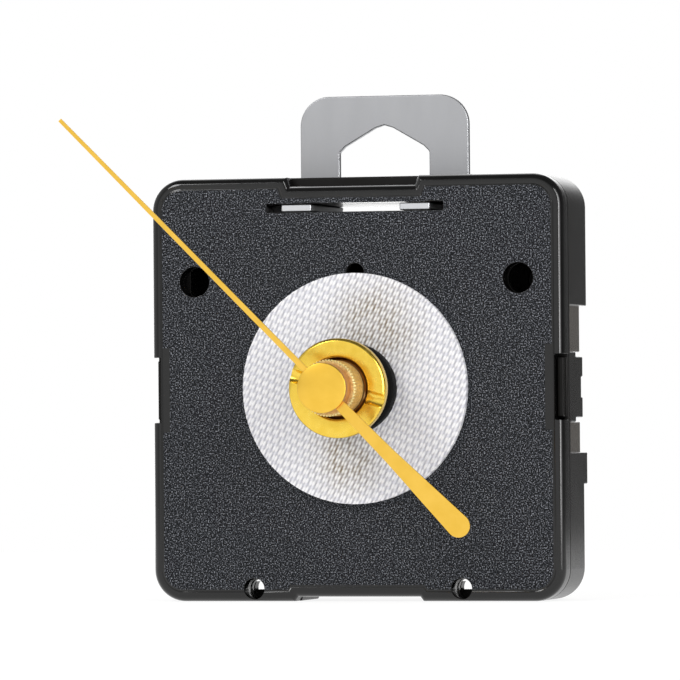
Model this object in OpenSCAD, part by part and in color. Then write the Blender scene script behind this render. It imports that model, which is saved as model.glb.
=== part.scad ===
// Quartz clock movement with a single AA cell, a threaded neck, a hanger and a second hand.
// The shaft runs along Y and the dial side faces -Y; the origin is the shaft's axis at the panel's face.

/* [Case] */
// Width and height of the square case
case_w = 56; // [55:0.5:60]
// Radius of the case's corners
corner_r = 4.2; // [3.4:0.2:6]
// Radius of the polished rim round the front panel
rim_r = 1.2; // [0.8:0.1:1.4]
// Thickness of the front panel
panel_t = 1.6; // [1.4:0.1:2]
// Depth of the front cover from its face to the parting line
cover_d = 3.2; // [3:0.1:3.6]
// Depth of the case from its face to the rear of the mechanism
case_d = 16; // [15.6:0.2:18]
// How far the side walls stop short of the mechanism's rear face
side_step = 2; // [1:0.2:3]
// Thickness of the case's outer walls
wall_t = 1.4; // [1:0.1:1.6]
// Thickness of the walls and the rear plate inside the case
rib_t = 0.8; // [0.6:0.1:1]
// Diameter of the two fixing holes beside the shaft
fix_hole_d = 4; // [3:0.1:4.4]
// Distance of the fixing holes from the case's sides
fix_hole_inset = 6; // [5.8:0.1:6.4]
// Height of the fixing holes above the shaft
fix_hole_z = 14.3; // [13.8:0.1:14.8]
// Diameter of the locating hole above the shaft
peg_hole_d = 2.4; // [1.6:0.1:3]
// Height of the locating hole above the shaft
peg_hole_z = 15.3; // [15:0.1:16]
// Diameter of the two holes in the bottom edge
edge_hole_d = 2.75; // [2:0.05:2.9]
// Distance between the two holes in the bottom edge
edge_hole_gap = 28.2; // [24:0.2:34]
// Wall left below the holes in the bottom edge
edge_hole_wall = 0.3; // [0.2:0.05:0.5]

/* [Hanger] */
// Width of the hanger plate
hanger_w = 23.3; // [22:0.1:24.4]
// Height of the hanger's top above the shaft
hanger_top = 39.4; // [37:0.2:44]
// Thickness of the hanger's sheet
hanger_t = 1; // [0.8:0.1:1.2]
// Radius of the hanger's upper corners
hanger_r = 4; // [3:0.5:6]
// Width of the hanging eye
eye_w = 12.4; // [10:0.2:13]
// Height of the eye's shoulders above the shaft
eye_shoulder_z = 32.6; // [31:0.2:33]
// Height of the eye's peak above the shaft
eye_peak_z = 35.4; // [34:0.2:36.4]
// Width of each arm that holds the hanger in the case
arm_w = 4.1; // [3:0.1:4.6]
// Distance from the centre to the inner edge of an arm
arm_x = 6; // [5:0.1:6.4]
// Width of the slot that the arms come out of
slot_w = 24; // [23.6:0.1:26]
// Height of the slot's middle above the shaft
slot_z = 23.9; // [23.6:0.1:24]
// Clearance between the arms and the slot
arm_gap = 0.08; // [0.05:0.01:0.15]

/* [Shaft] */
// Outer diameter of the threaded neck
neck_d = 8; // [7.8:0.1:8.4]
// Length of the neck in front of the panel
neck_l = 9.5; // [8.8:0.1:9.7]
// Outer diameter of the hour tube
hour_tube_d = 5; // [4.6:0.1:5.6]
// Length of the hour tube in front of the panel
hour_tube_l = 11.4; // [10.2:0.1:11.8]
// Outer diameter of the minute pipe
minute_pipe_d = 3; // [2.4:0.1:3.4]
// Outer diameter of the seconds shaft
second_shaft_d = 1; // [0.8:0.05:1.2]
// Radial running clearance between the nested shafts
shaft_gap = 0.05; // [0.03:0.01:0.08]
// Diameter of the centre nut
nut_d = 13; // [11:0.2:14]
// Thickness of the centre nut
nut_t = 1.8; // [1.4:0.1:2.4]
// Width of the two driver slots in the centre nut
nut_slot_w = 1.9; // [1:0.1:2.4]
// Diameter of the woven dial washer
washer_d = 30.6; // [26:0.2:34]
// Thickness of the woven dial washer
washer_t = 1; // [0.6:0.1:1.2]
// Outer diameter of the rubber ring
ring_d = 12; // [10:0.2:13]
// Thickness of the rubber ring
ring_t = 2.4; // [1:0.1:3]

/* [Hands] */
// Diameter of the knurled minute nut
minute_nut_d = 7.4; // [6:0.1:7.8]
// Diameter of the second hand's cap
cap_d = 6.5; // [5:0.1:7]
// Height of the second hand's cap
cap_h = 2.8; // [2.4:0.1:3.2]
// Distance from the panel to the front of the cap
cap_front = 17.6; // [17.4:0.1:18.4]
// Length of the second hand from the shaft to its tip
hand_l = 49.9; // [30:0.5:60]
// Length of the second hand's counterweight tail
tail_l = 26.5; // [15:0.5:30]
// Thickness of the second hand's sheet
hand_t = 0.3; // [0.2:0.05:0.5]
// Angle of the second hand, counted from pointing right
hand_angle = 135; // [0:5:355]

/* [Gear train] */
// Module of the seconds and third wheels
train_module = 0.2; // [0.19:0.01:0.2]
// Module of the intermediate wheel and the rotor's pinion
rotor_module = 0.16; // [0.15:0.01:0.17]
// Module of the motion work behind the dial
motion_module = 0.25; // [0.24:0.01:0.25]
// Thickness of the train's wheels
wheel_t = 0.8; // [0.6:0.1:0.9]
// Diameter of the train's arbors
arbor_d = 1; // [0.8:0.05:1.1]
// Diameter of the pivots at the ends of the arbors
pivot_d = 0.6; // [0.4:0.05:0.7]
// Radial clearance of a pivot in its hole
pivot_gap = 0.04; // [0.03:0.01:0.06]
// Diameter of the rotor's magnet
magnet_d = 5.4; // [4:0.1:5.6]
// Diameter of the setting knob
knob_d = 7; // [6:0.1:7.6]
// How far the setting knob stands out of the rear face
knob_out = 1.2; // [0.8:0.1:3]

/* [Battery] */
// Diameter of the cell
cell_d = 14.2; // [13.8:0.1:14.4]
// Room for both contacts beside the cell, along its length
contact_room = 3.2; // [3:0.1:3.6]
// Length of the cell's positive button
button_l = 1.1; // [0.8:0.1:1.3]
// Diameter of the cell's positive button
button_d = 5.4; // [4.4:0.1:5.6]
// Clearance round the cell in its bay
cell_gap = 0.3; // [0.25:0.05:0.4]
// Thickness of the contact strips
contact_t = 0.3; // [0.2:0.05:0.4]

/* [Hidden] */
$fn = 64;
// A cut runs past the solid that it opens by this much
past = 1;
half = case_w / 2;
fix_hole_gap = case_w - 2 * fix_hole_inset;

// The battery bay lies below the shaft, along X
bay_z = -17;
bay_front = panel_t + cell_gap;
cell_y = bay_front + cell_d / 2;
bay_h = cell_d + 2 * cell_gap;
bay_w = case_w - 2 * wall_t;
bay_top = bay_z + bay_h / 2;
bay_bottom = bay_z - bay_h / 2;
bay_ceiling = bay_top + rib_t;
cell_l = bay_w - button_l - contact_room;
cell_shift = 0.35;
cell_x = -bay_w / 2 + contact_room / 2 + cell_shift;
contact_w = 8;
contact_h = 8;
leaf_w = 6;
leaf_flat = 1;

// The mechanism's chamber fills the case between the bay and the hanger's slot
slot_h = hanger_t + 2 * arm_gap;
slot_low = slot_z - slot_h / 2;
slot_high = slot_z + slot_h / 2;
chamber_inset = 4.6;
chamber_side = half - chamber_inset;
chamber_top = slot_low - rib_t;
side_d = case_d - side_step;
low_side_drop = 2;
low_side_d = side_d - low_side_drop;
low_side_z = bay_top - 3.2;
raised_inset = 3.6;
raised_side = half - raised_inset;
raised_top = half - panel_t;
edge_hole_z = -half + edge_hole_wall + edge_hole_d / 2;
pocket_w = 8;
pocket_y = 5;

// Notches in the cover's rim
notch_top = 1.25;
notch_top_w = 17;
notch_top_x = -0.5;
notch_bottom = 0.6;
notch_bottom_w = 16.6;
notch_slope = 0.5;
window_h = 8.6;
window_w = 1.3;

// Snap tabs in the rear shell's sides
tab_z = 4;
tab_slit = 0.6;
tab_slit_y = 7.4;
tab_end_y = side_d - 2.5;
tab_notch = 0.9;
tab_notch_h = 2.7;
recess_top = 10.75;
recess_bottom = -8.65;
recess_in = 0.4;
moat_w = 1;
moat_y = 6.6;

// Depths of the gear train's layers, from the panel towards the rear
hour_play = 0.35;
hour_y = panel_t + hour_play;
hour_t = 1.1;
motion_y = hour_y + hour_t + 0.5;
motion_t = 1;
centre_y = motion_y + motion_t + 0.8;
third_y = centre_y + wheel_t + 2;
second_y = third_y + wheel_t + 0.6;
mid_y = second_y + wheel_t + 0.8;
bridge_y = mid_y + wheel_t + 0.7;
bridge_t = 1;
rear_plate_y = case_d - rib_t - 0.2;
pivot_l = 0.7;
arbor_front = motion_y;

// Numbers of teeth: 30:1 from rotor to seconds, 60:1 to minutes and 12:1 to hours
rotor_teeth = 10;
mid_teeth = 60;
mid_pinion_teeth = 12;
second_teeth = 60;
second_pinion_teeth = 8;
third_teeth = 64;
third_pinion_teeth = 8;
centre_teeth = 60;
cannon_teeth = 12;
motion_teeth = 36;
motion_pinion_teeth = 10;
hour_teeth = 40;
knob_teeth = 18;

// Distances between the axes and the places that follow from them
third_reach = train_module * (second_pinion_teeth + third_teeth) / 2;
mid_reach = train_module * (mid_pinion_teeth + second_teeth) / 2;
rotor_reach = rotor_module * (rotor_teeth + mid_teeth) / 2;
motion_reach = motion_module * (cannon_teeth + motion_teeth) / 2;
knob_reach = motion_module * (motion_teeth + knob_teeth) / 2;
centre_module = 2 * third_reach / (third_pinion_teeth + centre_teeth);
hour_module = 2 * motion_reach / (motion_pinion_teeth + hour_teeth);
third_angle = 60;
mid_angle = -20;
rotor_angle = 20;
motion_angle = 200;
knob_angle = 180;
third_axis = polar(third_reach, third_angle);
mid_axis = polar(mid_reach, mid_angle);
rotor_axis = mid_axis + polar(rotor_reach, rotor_angle);
motion_axis = polar(motion_reach, motion_angle);
knob_axis = motion_axis + polar(knob_reach, knob_angle);
motion_turn = meshed(motion_angle, cannon_teeth, motion_angle, motion_teeth);
pipe_core_d = 2;
knob_arbor_d = 2.4;
knob_stud_l = 3.2;
knob_well = 0.4;
finger_w = 14;

// Tooth form: addendum, dedendum, then the shares of the pitch at the tip, the pitch circle and the root
wheel_form = [1, 1.25, 0.12, 0.42, 0.5];
pinion_form = [0.7, 1.35, 0.16, 0.38, 0.36];

// Stepping motor
coil_d = 5.4;
flange_step = 0.3;
coil_room = 1;
coil_x = chamber_side - coil_room - coil_d / 2 - flange_step;
coil_l = 13;
coil_z = 0.3;
core_w = 2.2;
core_t = 0.8;
flange_t = 0.7;
stator_y = centre_y;
stator_t = 0.8;
coil_y = stator_y + stator_t + core_t / 2;
bobbin_d = 3.4;
core_end = 1.8;
magnet_l = 3;
magnet_y = stator_y + stator_t / 2 - magnet_l / 2;
air_gap = 0.45;
stator_arm = 2.4;
stator_bore = magnet_d + 2 * air_gap;
stator_ring = stator_bore + stator_arm;

// Bridge, pillars and board
pillars = [[-9, 8.4], [12.6, 12.4], [-2.4, -7.5]];
pillar_d = 2;
board_gap = 0.5;
board_w = chamber_side + knob_axis[0] - knob_arbor_d / 2 - 2.4 * board_gap;
board_h = 17;
board_x = -chamber_side + board_gap;
board_z = 1;
board_lift = 3.3;
board_y = panel_t + board_lift;
board_t = 0.8;
crystal_d = 2;
crystal_l = 6;
crystal_in = 2.6;
chip_d = 4;

// Posts under the board and under the stator
board_stud_in = 1.6;
board_stud_end = 3.5;
board_stud_z = board_h / 2 - board_stud_end;
studs = [for (z = [-1, 1]) [board_x + board_stud_in, board_z + z * board_stud_z]];
stator_stud_z = coil_l / 2 + core_end - stator_arm / 2;
stator_studs = [for (z = [-1, 1]) [rotor_axis[0], coil_z + z * stator_stud_z]];

// Hands, seen from the front and drawn pointing right
hand_y = -cap_front + 0.8;
hub_w = 0.8;
tip_w = 0.5;
tail_hub_w = 1.2;
tail_mid_w = 1.65;
tail_end_w = 2.9;
hand_hub_d = 4;
hand_hole_d = second_shaft_d;

// Nuts on the shaft
flange_out = 0.7;
nut_sunk = 0.5;
nut_chamfer = 0.3;
nut_slot_deep = 0.6;
nut_slot_turn = 16;
knurl_ridges = 56;
knurl_t = 0.6;
knurl_deep = 0.18;
minute_nut_l = 4.8;
minute_nut_step = 0.4;

function polar(r, a) = [r * cos(a), r * sin(a)];

// Turn of a gear that meshes at this angle with a gear turned by turn
function meshed(turn, teeth, angle, mate_teeth) =
    angle + 180 + 180 / mate_teeth - (turn - angle) * teeth / mate_teeth;

// A front-view outline of thickness t that starts at depth y
module slab(y, t) {
    translate([0, y + t, 0]) rotate([90, 0, 0]) linear_extrude(t) children();
}

// A round rod along the depth
module rod(y, t, d) {
    translate([0, y + t, 0]) rotate([90, 0, 0]) cylinder(d = d, h = t);
}

// A round tube along the depth
module tube(y, t, d, bore) {
    difference() {
        rod(y, t, d);
        rod(y - past, t + 2 * past, bore);
    }
}

// Moves a piece to a place in the front view
module at(p) {
    translate([p[0], 0, p[1]]) children();
}

// A box given by its lowest and highest corners
module block(low, high) {
    translate(low) cube(high - low);
}

module rounded_rect(w, h, r) {
    square([w - 2 * r, h], center = true);
    square([w, h - 2 * r], center = true);
    for (x = [-1, 1], z = [-1, 1]) translate([x * (w / 2 - r), z * (h / 2 - r)]) circle(r = r);
}

// Sweeps a section round the case: its x is the distance from a corner's centre and its y is the depth
module round_case() {
    straight = case_w - 2 * corner_r;
    for (turn = [0:90:270]) rotate([0, turn, 0]) {
        translate([straight / 2, 0, straight / 2]) rotate([-90, 0, 0])
            rotate([0, 0, -90]) rotate_extrude(angle = 90) children();
        translate([straight / 2, 0, -straight / 2]) linear_extrude(straight) children();
    }
}

// One gear's outline: trapezoid teeth that narrow to a small tip
module gear_outline(teeth, size, form) {
    r = teeth * size / 2;
    step = 360 / teeth;
    radii = [r - form[1] * size, r, r + form[0] * size];
    shares = [form[4], form[3], form[2]];
    polygon([for (i = [0:teeth - 1]) each concat(
        [for (k = [0:2]) polar(radii[k], (i - shares[k] / 2) * step)],
        [for (k = [2:-1:0]) polar(radii[k], (i + shares[k] / 2) * step)])]);
}

// A wheel with a rim, a hub and spokes
module spoked_wheel(teeth, size, y, t, turn, hub_d, spokes) {
    r = teeth * size / 2;
    rim_in = r - 1.25 * size - 0.7;
    difference() {
        slab(y, t) rotate(turn) gear_outline(teeth, size, wheel_form);
        slab(y - past, t + 2 * past) difference() {
            circle(r = rim_in);
            circle(d = hub_d);
            for (k = [0:spokes - 1]) rotate(k * 360 / spokes) translate([0, -0.4]) square([r, 0.8]);
        }
    }
}

module pinion(teeth, size, y, t, turn) {
    slab(y, t) rotate(turn) gear_outline(teeth, size, pinion_form);
}

// An arbor with a pivot at each end
module arbor(y, l) {
    rod(y, l, arbor_d);
    rod(y - pivot_l, l + 2 * pivot_l, pivot_d);
}

// A boss on the panel that carries an arbor's front pivot
module pivot_boss(p) {
    at(p) difference() {
        rod(panel_t, arbor_front - panel_t, arbor_d + 1.2);
        rod(arbor_front - pivot_l - 0.1, pivot_l + past, pivot_d + 2 * pivot_gap);
    }
}

// The space inside the case that the mechanism and the battery take, in the front view
module inner_rooms() {
    translate([-chamber_side, bay_ceiling]) square([2 * chamber_side, chamber_top - bay_ceiling]);
    translate([-bay_w / 2, bay_bottom]) square([bay_w, bay_h]);
}

module hanger_slot_outline() {
    translate([-slot_w / 2, slot_low]) square([slot_w, slot_h]);
}

// A notch in the case's edge, drawn at the top: w wide at its floor, with sloped ends
module edge_notch_outline(w, deep) {
    polygon([[-w / 2, half - deep], [w / 2, half - deep], [w / 2 + notch_slope, half + past],
        [-w / 2 - notch_slope, half + past]]);
}

// Rounds the front edge of a notch's floor to the rim's radius
module notch_rounding(w, deep, r) {
    floor_z = half - deep;
    difference() {
        block([-w / 2 - notch_slope, -past, floor_z - r], [w / 2 + notch_slope, r, floor_z + past]);
        translate([-half, r, floor_z - r]) rotate([0, 90, 0]) cylinder(r = r, h = case_w);
        block([-half, r - 2 * r, floor_z - 3 * r], [half, r + past, floor_z - r]);
    }
}

module front_cover() {
    rim_section_x = corner_r - rim_r;
    color([0.07, 0.07, 0.08]) {
        difference() {
            union() {
                slab(0, cover_d) rounded_rect(case_w - 2 * rim_r, case_w - 2 * rim_r, rim_section_x);
                round_case() {
                    translate([rim_section_x, rim_r]) square([rim_r, cover_d - rim_r]);
                    translate([rim_section_x, rim_r]) intersection() {
                        circle(r = rim_r);
                        translate([0, -rim_r]) square([rim_r, rim_r]);
                    }
                }
            }
            slab(panel_t, cover_d) inner_rooms();
            slab(-past, cover_d + 2 * past) hanger_slot_outline();
            slab(-past, cover_d + 2 * past) translate([notch_top_x, 0])
                edge_notch_outline(notch_top_w, notch_top);
            slab(-past, cover_d + 2 * past) rotate(180) edge_notch_outline(notch_bottom_w, notch_bottom);
            translate([notch_top_x, 0, 0]) notch_rounding(notch_top_w, notch_top, rim_r);
            for (x = [-1, 1]) {
                slab(-past, cover_d + 2 * past) translate([x * (half - window_w / 2 + past / 2), 0])
                    square([window_w + past, window_h], center = true);
                at([x * fix_hole_gap / 2, fix_hole_z]) rod(-past, cover_d + 2 * past, fix_hole_d);
                at([x * edge_hole_gap / 2, edge_hole_z]) rod(-past, cover_d + 2 * past, edge_hole_d);
            }
            at([0, peg_hole_z]) rod(-past, cover_d + past, peg_hole_d);
            rod(-past, cover_d, neck_d + 2 * flange_out);
        }
        for (x = [-1, 1]) at([x * fix_hole_gap / 2, fix_hole_z]) intersection() {
            tube(panel_t, cover_d - panel_t, fix_hole_d + 2 * wall_t, fix_hole_d);
            block([-half, 0, -half], [chamber_side * 2, cover_d, half]);
        }
        at([0, peg_hole_z]) difference() {
            rod(panel_t, cover_d - panel_t, peg_hole_d + 2 * rib_t);
            rod(0, cover_d - rib_t, peg_hole_d);
        }
        for (p = [third_axis, mid_axis, rotor_axis]) pivot_boss(p);
        at(motion_axis) rod(panel_t, motion_y + motion_t + 0.3 - panel_t, arbor_d);
        at(knob_axis) rod(panel_t, knob_stud_l, arbor_d);
        // Posts that carry the board and the stator, each with a pin through its plate
        for (p = studs) at(p) {
            rod(panel_t, board_y - panel_t, pillar_d);
            rod(board_y - past, past + board_t, arbor_d);
        }
        for (p = stator_studs) at(p) {
            rod(panel_t, stator_y - panel_t, pillar_d);
            rod(stator_y - past, past + stator_t, arbor_d);
        }
        for (p = pillars) at(p) {
            rod(panel_t, bridge_y - panel_t, pillar_d);
            rod(bridge_y - past, past + bridge_t, pillar_d / 2);
        }
    }
}

module shell_side_cuts() {
    // Beside the tab the wall is thinner and stops short of the rear
    for (z = [[tab_z + tab_slit, recess_top], [recess_bottom, -tab_z - tab_slit]]) {
        block([half - recess_in, cover_d + rib_t, z[0]], [half + past, tab_end_y + past, z[1]]);
        block([half - wall_t, tab_end_y, z[0]], [half + past, case_d + past, z[1]]);
    }
    // Slits that free the tab
    for (z = [-1, 1]) block([half - wall_t - past, tab_slit_y, z * (tab_z + tab_slit / 2) - tab_slit / 2],
        [half + past, case_d + past, z * (tab_z + tab_slit / 2) + tab_slit / 2]);
    // The tab stops short of the rear, with a small notch in its end
    block([half - wall_t - past, tab_end_y, -tab_z], [half + past, case_d + past, tab_z]);
    block([half - wall_t - past, tab_end_y - tab_notch, -tab_notch_h / 2],
        [half + past, case_d + past, tab_notch_h / 2]);
    // Open moat behind the tab
    block([half - wall_t - moat_w, moat_y, -tab_z - tab_slit], [half - wall_t, case_d + past, tab_z + tab_slit]);
    // The side wall is lower beside the battery
    block([half - wall_t - 0.1, low_side_d, -half - past], [half + past, case_d + past, low_side_z]);
}

module rear_shell() {
    color([0.16, 0.16, 0.16]) {
        difference() {
            union() {
                slab(cover_d, side_d - cover_d) rounded_rect(case_w, case_w, corner_r);
                slab(cover_d, case_d - cover_d) translate([-raised_side, bay_top])
                    square([2 * raised_side, raised_top - bay_top]);
                // Tongues that snap into the cover's windows
                for (x = [-1, 1]) slab(panel_t, cover_d - panel_t)
                    translate([x * (half - window_w / 2 - 0.15), 0])
                        square([window_w - 0.5, window_h - 0.8], center = true);
            }
            slab(cover_d - past, rear_plate_y - cover_d + past) translate([-chamber_side, bay_ceiling])
                square([2 * chamber_side, chamber_top - bay_ceiling]);
            slab(cover_d - past, case_d) translate([-bay_w / 2, bay_bottom]) square([bay_w, bay_h]);
            block([-half - past, low_side_d, -half - past], [half + past, case_d + past, bay_bottom + past]);
            slab(cover_d - past, case_d) hanger_slot_outline();
            slab(cover_d - past, case_d) rotate(180) edge_notch_outline(notch_bottom_w, notch_bottom);
            for (x = [0, 1]) mirror([x, 0, 0]) {
                shell_side_cuts();
                // Pocket behind an edge hole, open to the rear
                translate([edge_hole_gap / 2, 0, 0]) block([-pocket_w / 2, pocket_y, -half + 0.5],
                    [pocket_w / 2, case_d, bay_bottom - rib_t]);
                at([edge_hole_gap / 2, edge_hole_z]) rod(cover_d - past, case_d, edge_hole_d);
                // Lightening pocket beside the hanger's slot
                block([slot_w / 2 + 1.4, cover_d + 2, chamber_top + rib_t],
                    [raised_side - 1.2, case_d + past, raised_top - 1.2]);
            }
            at(knob_axis) rod(rear_plate_y - past, case_d, knob_d + 0.2);
            // Shallow well round the setting knob
            at(knob_axis) rod(case_d - knob_well, knob_well + past, knob_d + 4);
            // Finger notch in the wall below the cell
            at([0, bay_bottom]) rod(low_side_d - cell_d / 3, cell_d, finger_w);
        }
        for (x = [-1, 1]) intersection() {
            at([x * fix_hole_gap / 2, fix_hole_z])
                tube(cover_d, rear_plate_y - cover_d, fix_hole_d + 2 * wall_t, fix_hole_d);
            block([-chamber_side, 0, bay_top], [chamber_side, case_d, chamber_top]);
        }
        // Pads that press the bridge on to its pillars
        for (p = pillars) at(p) rod(bridge_y + bridge_t, rear_plate_y - bridge_y - bridge_t, pillar_d);
    }
}

module threaded_neck() {
    color([0.72, 0.55, 0.2]) difference() {
        union() {
            rod(-neck_l, neck_l + past, neck_d);
            rod(0, panel_t, neck_d + 2 * flange_out);
        }
        rod(-neck_l - past, neck_l + panel_t + 2 * past, hour_tube_d + 2 * shaft_gap);
    }
}

module centre_nut() {
    nut_y = -neck_l - nut_sunk;
    slot_lift = nut_slot_w / 2 - nut_slot_deep;
    color([0.95, 0.72, 0.2]) difference() {
        rotate([-90, 0, 0]) rotate_extrude() polygon([[neck_d / 2, nut_y + nut_sunk],
            [neck_d / 2 + nut_chamfer / 2, nut_y + nut_sunk], [neck_d / 2 + nut_chamfer / 2, nut_y],
            [nut_d / 2 - nut_chamfer, nut_y], [nut_d / 2, nut_y + nut_chamfer], [nut_d / 2, nut_y + nut_t],
            [neck_d / 2, nut_y + nut_t]]);
        // Rounded slot for the driver, right across the nut
        translate([0, nut_y - slot_lift, 0]) rotate([0, 90 + nut_slot_turn, 0])
            cylinder(d = nut_slot_w, h = 2 * nut_d, center = true);
    }
}

module dial_washer() {
    color([0.93, 0.93, 0.95]) tube(-washer_t, washer_t, washer_d, neck_d + 0.3);
}

module rubber_ring() {
    color([0.05, 0.05, 0.05]) tube(-washer_t - ring_t, ring_t, ring_d, neck_d + 0.2);
}

// The eye: straight sides, sloped shoulders and a round peak
module eye_outline() {
    low = slot_high;
    side = eye_w / 2;
    cut = 0.8;
    peak_side = 1.2;
    peak_z = eye_peak_z - 0.3 * peak_side;
    polygon([[-side, low], [side, low], [side, eye_shoulder_z - cut], [side - cut, eye_shoulder_z],
        [peak_side, peak_z], [0, eye_peak_z], [-peak_side, peak_z],
        [-side + cut, eye_shoulder_z], [-side, eye_shoulder_z - cut]]);
}

module hanger() {
    arm_low = slot_z - hanger_t / 2;
    color([0.7, 0.7, 0.72]) {
        difference() {
            slab(case_d, hanger_t) {
                translate([-hanger_w / 2, arm_low]) square([hanger_w, hanger_top - hanger_r - arm_low]);
                translate([-hanger_w / 2 + hanger_r, arm_low])
                    square([hanger_w - 2 * hanger_r, hanger_top - arm_low]);
                for (x = [-1, 1]) translate([x * (hanger_w / 2 - hanger_r), hanger_top - hanger_r])
                    circle(r = hanger_r);
            }
            slab(case_d - past, hanger_t + 2 * past) {
                eye_outline();
                translate([-eye_w / 2, arm_low - past]) square([eye_w, slot_high - arm_low + 2 * past]);
            }
        }
        for (x = [0, 1]) mirror([x, 0, 0])
            block([arm_x, 0.3, arm_low], [arm_x + arm_w, case_d + hanger_t, arm_low + hanger_t]);
    }
}

module train_bridge() {
    left = min([for (p = pillars) p[0]]) - pillar_d;
    right = rotor_axis[0] + 1.5 * pillar_d;
    low = min([for (p = pillars) p[1]]) - 0.55 * pillar_d;
    high = max([for (p = pillars) p[1]]) + pillar_d;
    color([0.85, 0.85, 0.82]) difference() {
        slab(bridge_y, bridge_t) difference() {
            translate([left, low]) square([right - left, high - low]);
            translate([left - past, low - past]) square([-left - 1.5 * pillar_d, -low + pillar_d]);
        }
        for (p = pillars) at(p) rod(bridge_y - past, bridge_t + 2 * past, pillar_d / 2);
        for (p = [[0, 0], third_axis, mid_axis, rotor_axis]) at(p)
            rod(bridge_y - past, bridge_t + 2 * past, pivot_d + 2 * pivot_gap);
    }
}

module stator() {
    top = coil_z + coil_l / 2 + core_end;
    low = coil_z - coil_l / 2 - core_end;
    color([0.6, 0.6, 0.62]) difference() {
        slab(stator_y, stator_t) {
            translate(rotor_axis) circle(d = stator_ring);
            translate([rotor_axis[0] - stator_arm / 2, rotor_axis[1]]) square([stator_arm, top - rotor_axis[1]]);
            translate([rotor_axis[0] - stator_arm / 2, low]) square([stator_arm, rotor_axis[1] - low]);
            translate([rotor_axis[0] - stator_arm / 2, top - stator_arm])
                square([coil_x + core_w / 2 - rotor_axis[0] + stator_arm / 2, stator_arm]);
            translate([rotor_axis[0] - stator_arm / 2, low])
                square([coil_x + core_w / 2 - rotor_axis[0] + stator_arm / 2, stator_arm]);
        }
        at(rotor_axis) rod(stator_y - past, stator_t + 2 * past, stator_bore);
        for (p = stator_studs) at(p) rod(stator_y - past, stator_t + 2 * past, arbor_d);
    }
}

module coil_core() {
    low = coil_z - coil_l / 2 - core_end;
    color([0.55, 0.55, 0.57]) translate([coil_x - core_w / 2, stator_y + stator_t, low])
        cube([core_w, core_t, coil_l + 2 * core_end]);
}

module coil_bobbin() {
    color([0.9, 0.88, 0.8]) translate([coil_x, coil_y, coil_z - coil_l / 2]) difference() {
        union() {
            cylinder(d = bobbin_d, h = coil_l);
            for (z = [0, coil_l - flange_t]) translate([0, 0, z]) cylinder(d = coil_d + 2 * flange_step, h = flange_t);
        }
        translate([-core_w / 2, -core_t / 2, -past]) cube([core_w, core_t, coil_l + 2 * past]);
        // Flats where the stator's arms pass under the flanges
        for (z = [-past, coil_l - flange_t - 0.2]) translate([-coil_d, -coil_d, z])
            cube([2 * coil_d, coil_d - core_t / 2, flange_t + 0.2 + past]);
    }
}

module coil_winding() {
    color([0.72, 0.32, 0.14]) translate([coil_x, coil_y, coil_z - coil_l / 2 + flange_t]) difference() {
        cylinder(d = coil_d, h = coil_l - 2 * flange_t);
        translate([0, 0, -past]) cylinder(d = bobbin_d, h = coil_l + past);
    }
}

module circuit_board() {
    color([0.1, 0.4, 0.22]) difference() {
        block([board_x, board_y, board_z - board_h / 2],
            [board_x + board_w, board_y + board_t, board_z + board_h / 2]);
        for (p = studs) at(p) rod(board_y - past, board_t + 2 * past, arbor_d);
    }
}

module quartz_crystal() {
    color([0.8, 0.8, 0.82]) translate([board_x + board_w - crystal_in, board_y + board_t + crystal_d / 2, board_z])
        cylinder(d = crystal_d, h = crystal_l);
}

module timing_chip() {
    color([0.06, 0.06, 0.06]) translate([board_x + board_w / 2 + 0.6, 0, board_z - board_h / 2 + chip_d]) {
        rod(board_y + board_t, 0.5, chip_d);
        rod(board_y + board_t, 0.9, chip_d - 1);
    }
}

module positive_contact() {
    x = bay_w / 2 - contact_t;
    button_end = cell_x + cell_l + button_l;
    color([0.82, 0.8, 0.72]) {
        block([x, cell_y - contact_w / 2, bay_z - contact_h / 2], [x + contact_t, cell_y + contact_w / 2,
            bay_z + contact_h / 2]);
        // Pressed dimple that meets the cell's button
        translate([button_end + cell_gap, cell_y, bay_z]) rotate([0, 90, 0])
            cylinder(d = button_d - 1, h = x - button_end - cell_gap + contact_t / 2);
    }
}

module negative_contact() {
    x = -bay_w / 2;
    tip = cell_x - cell_gap;
    low = cell_y - contact_w / 2;
    high = cell_y + contact_w / 2;
    // The strip folds over at its front edge into a leaf that bows towards the cell
    color([0.82, 0.8, 0.72]) {
        block([x, low, bay_z - contact_h / 2], [x + contact_t, high, bay_z + contact_h / 2]);
        translate([0, 0, bay_z - leaf_w / 2]) linear_extrude(leaf_w) polygon([[x, low],
            [x + contact_t, low - contact_t], [tip, cell_y - leaf_flat], [tip, cell_y + leaf_flat],
            [x + 2 * contact_t, high - 2 * contact_t], [x + 2 * contact_t, high - 3 * contact_t],
            [tip - contact_t, cell_y + leaf_flat - contact_t / 2],
            [tip - contact_t, cell_y - leaf_flat + contact_t / 2], [x + contact_t, low + contact_t / 2]]);
    }
}

module second_hand() {
    tail_x = -tail_l + tail_end_w / 2;
    mid_x = tail_x / 2;
    color([0.93, 0.75, 0.28]) difference() {
        slab(hand_y, hand_t) rotate(hand_angle) {
            polygon([[0, -tail_hub_w / 2], [0, -hub_w / 2], [hand_l, -tip_w / 2], [hand_l, tip_w / 2],
                [0, hub_w / 2], [0, tail_hub_w / 2], [mid_x, tail_mid_w / 2], [tail_x, tail_end_w / 2],
                [tail_x, -tail_end_w / 2], [mid_x, -tail_mid_w / 2]]);
            translate([tail_x, 0]) circle(d = tail_end_w);
            circle(d = hand_hub_d);
        }
        rod(hand_y - past, hand_t + 2 * past, hand_hole_d);
    }
}

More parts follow.
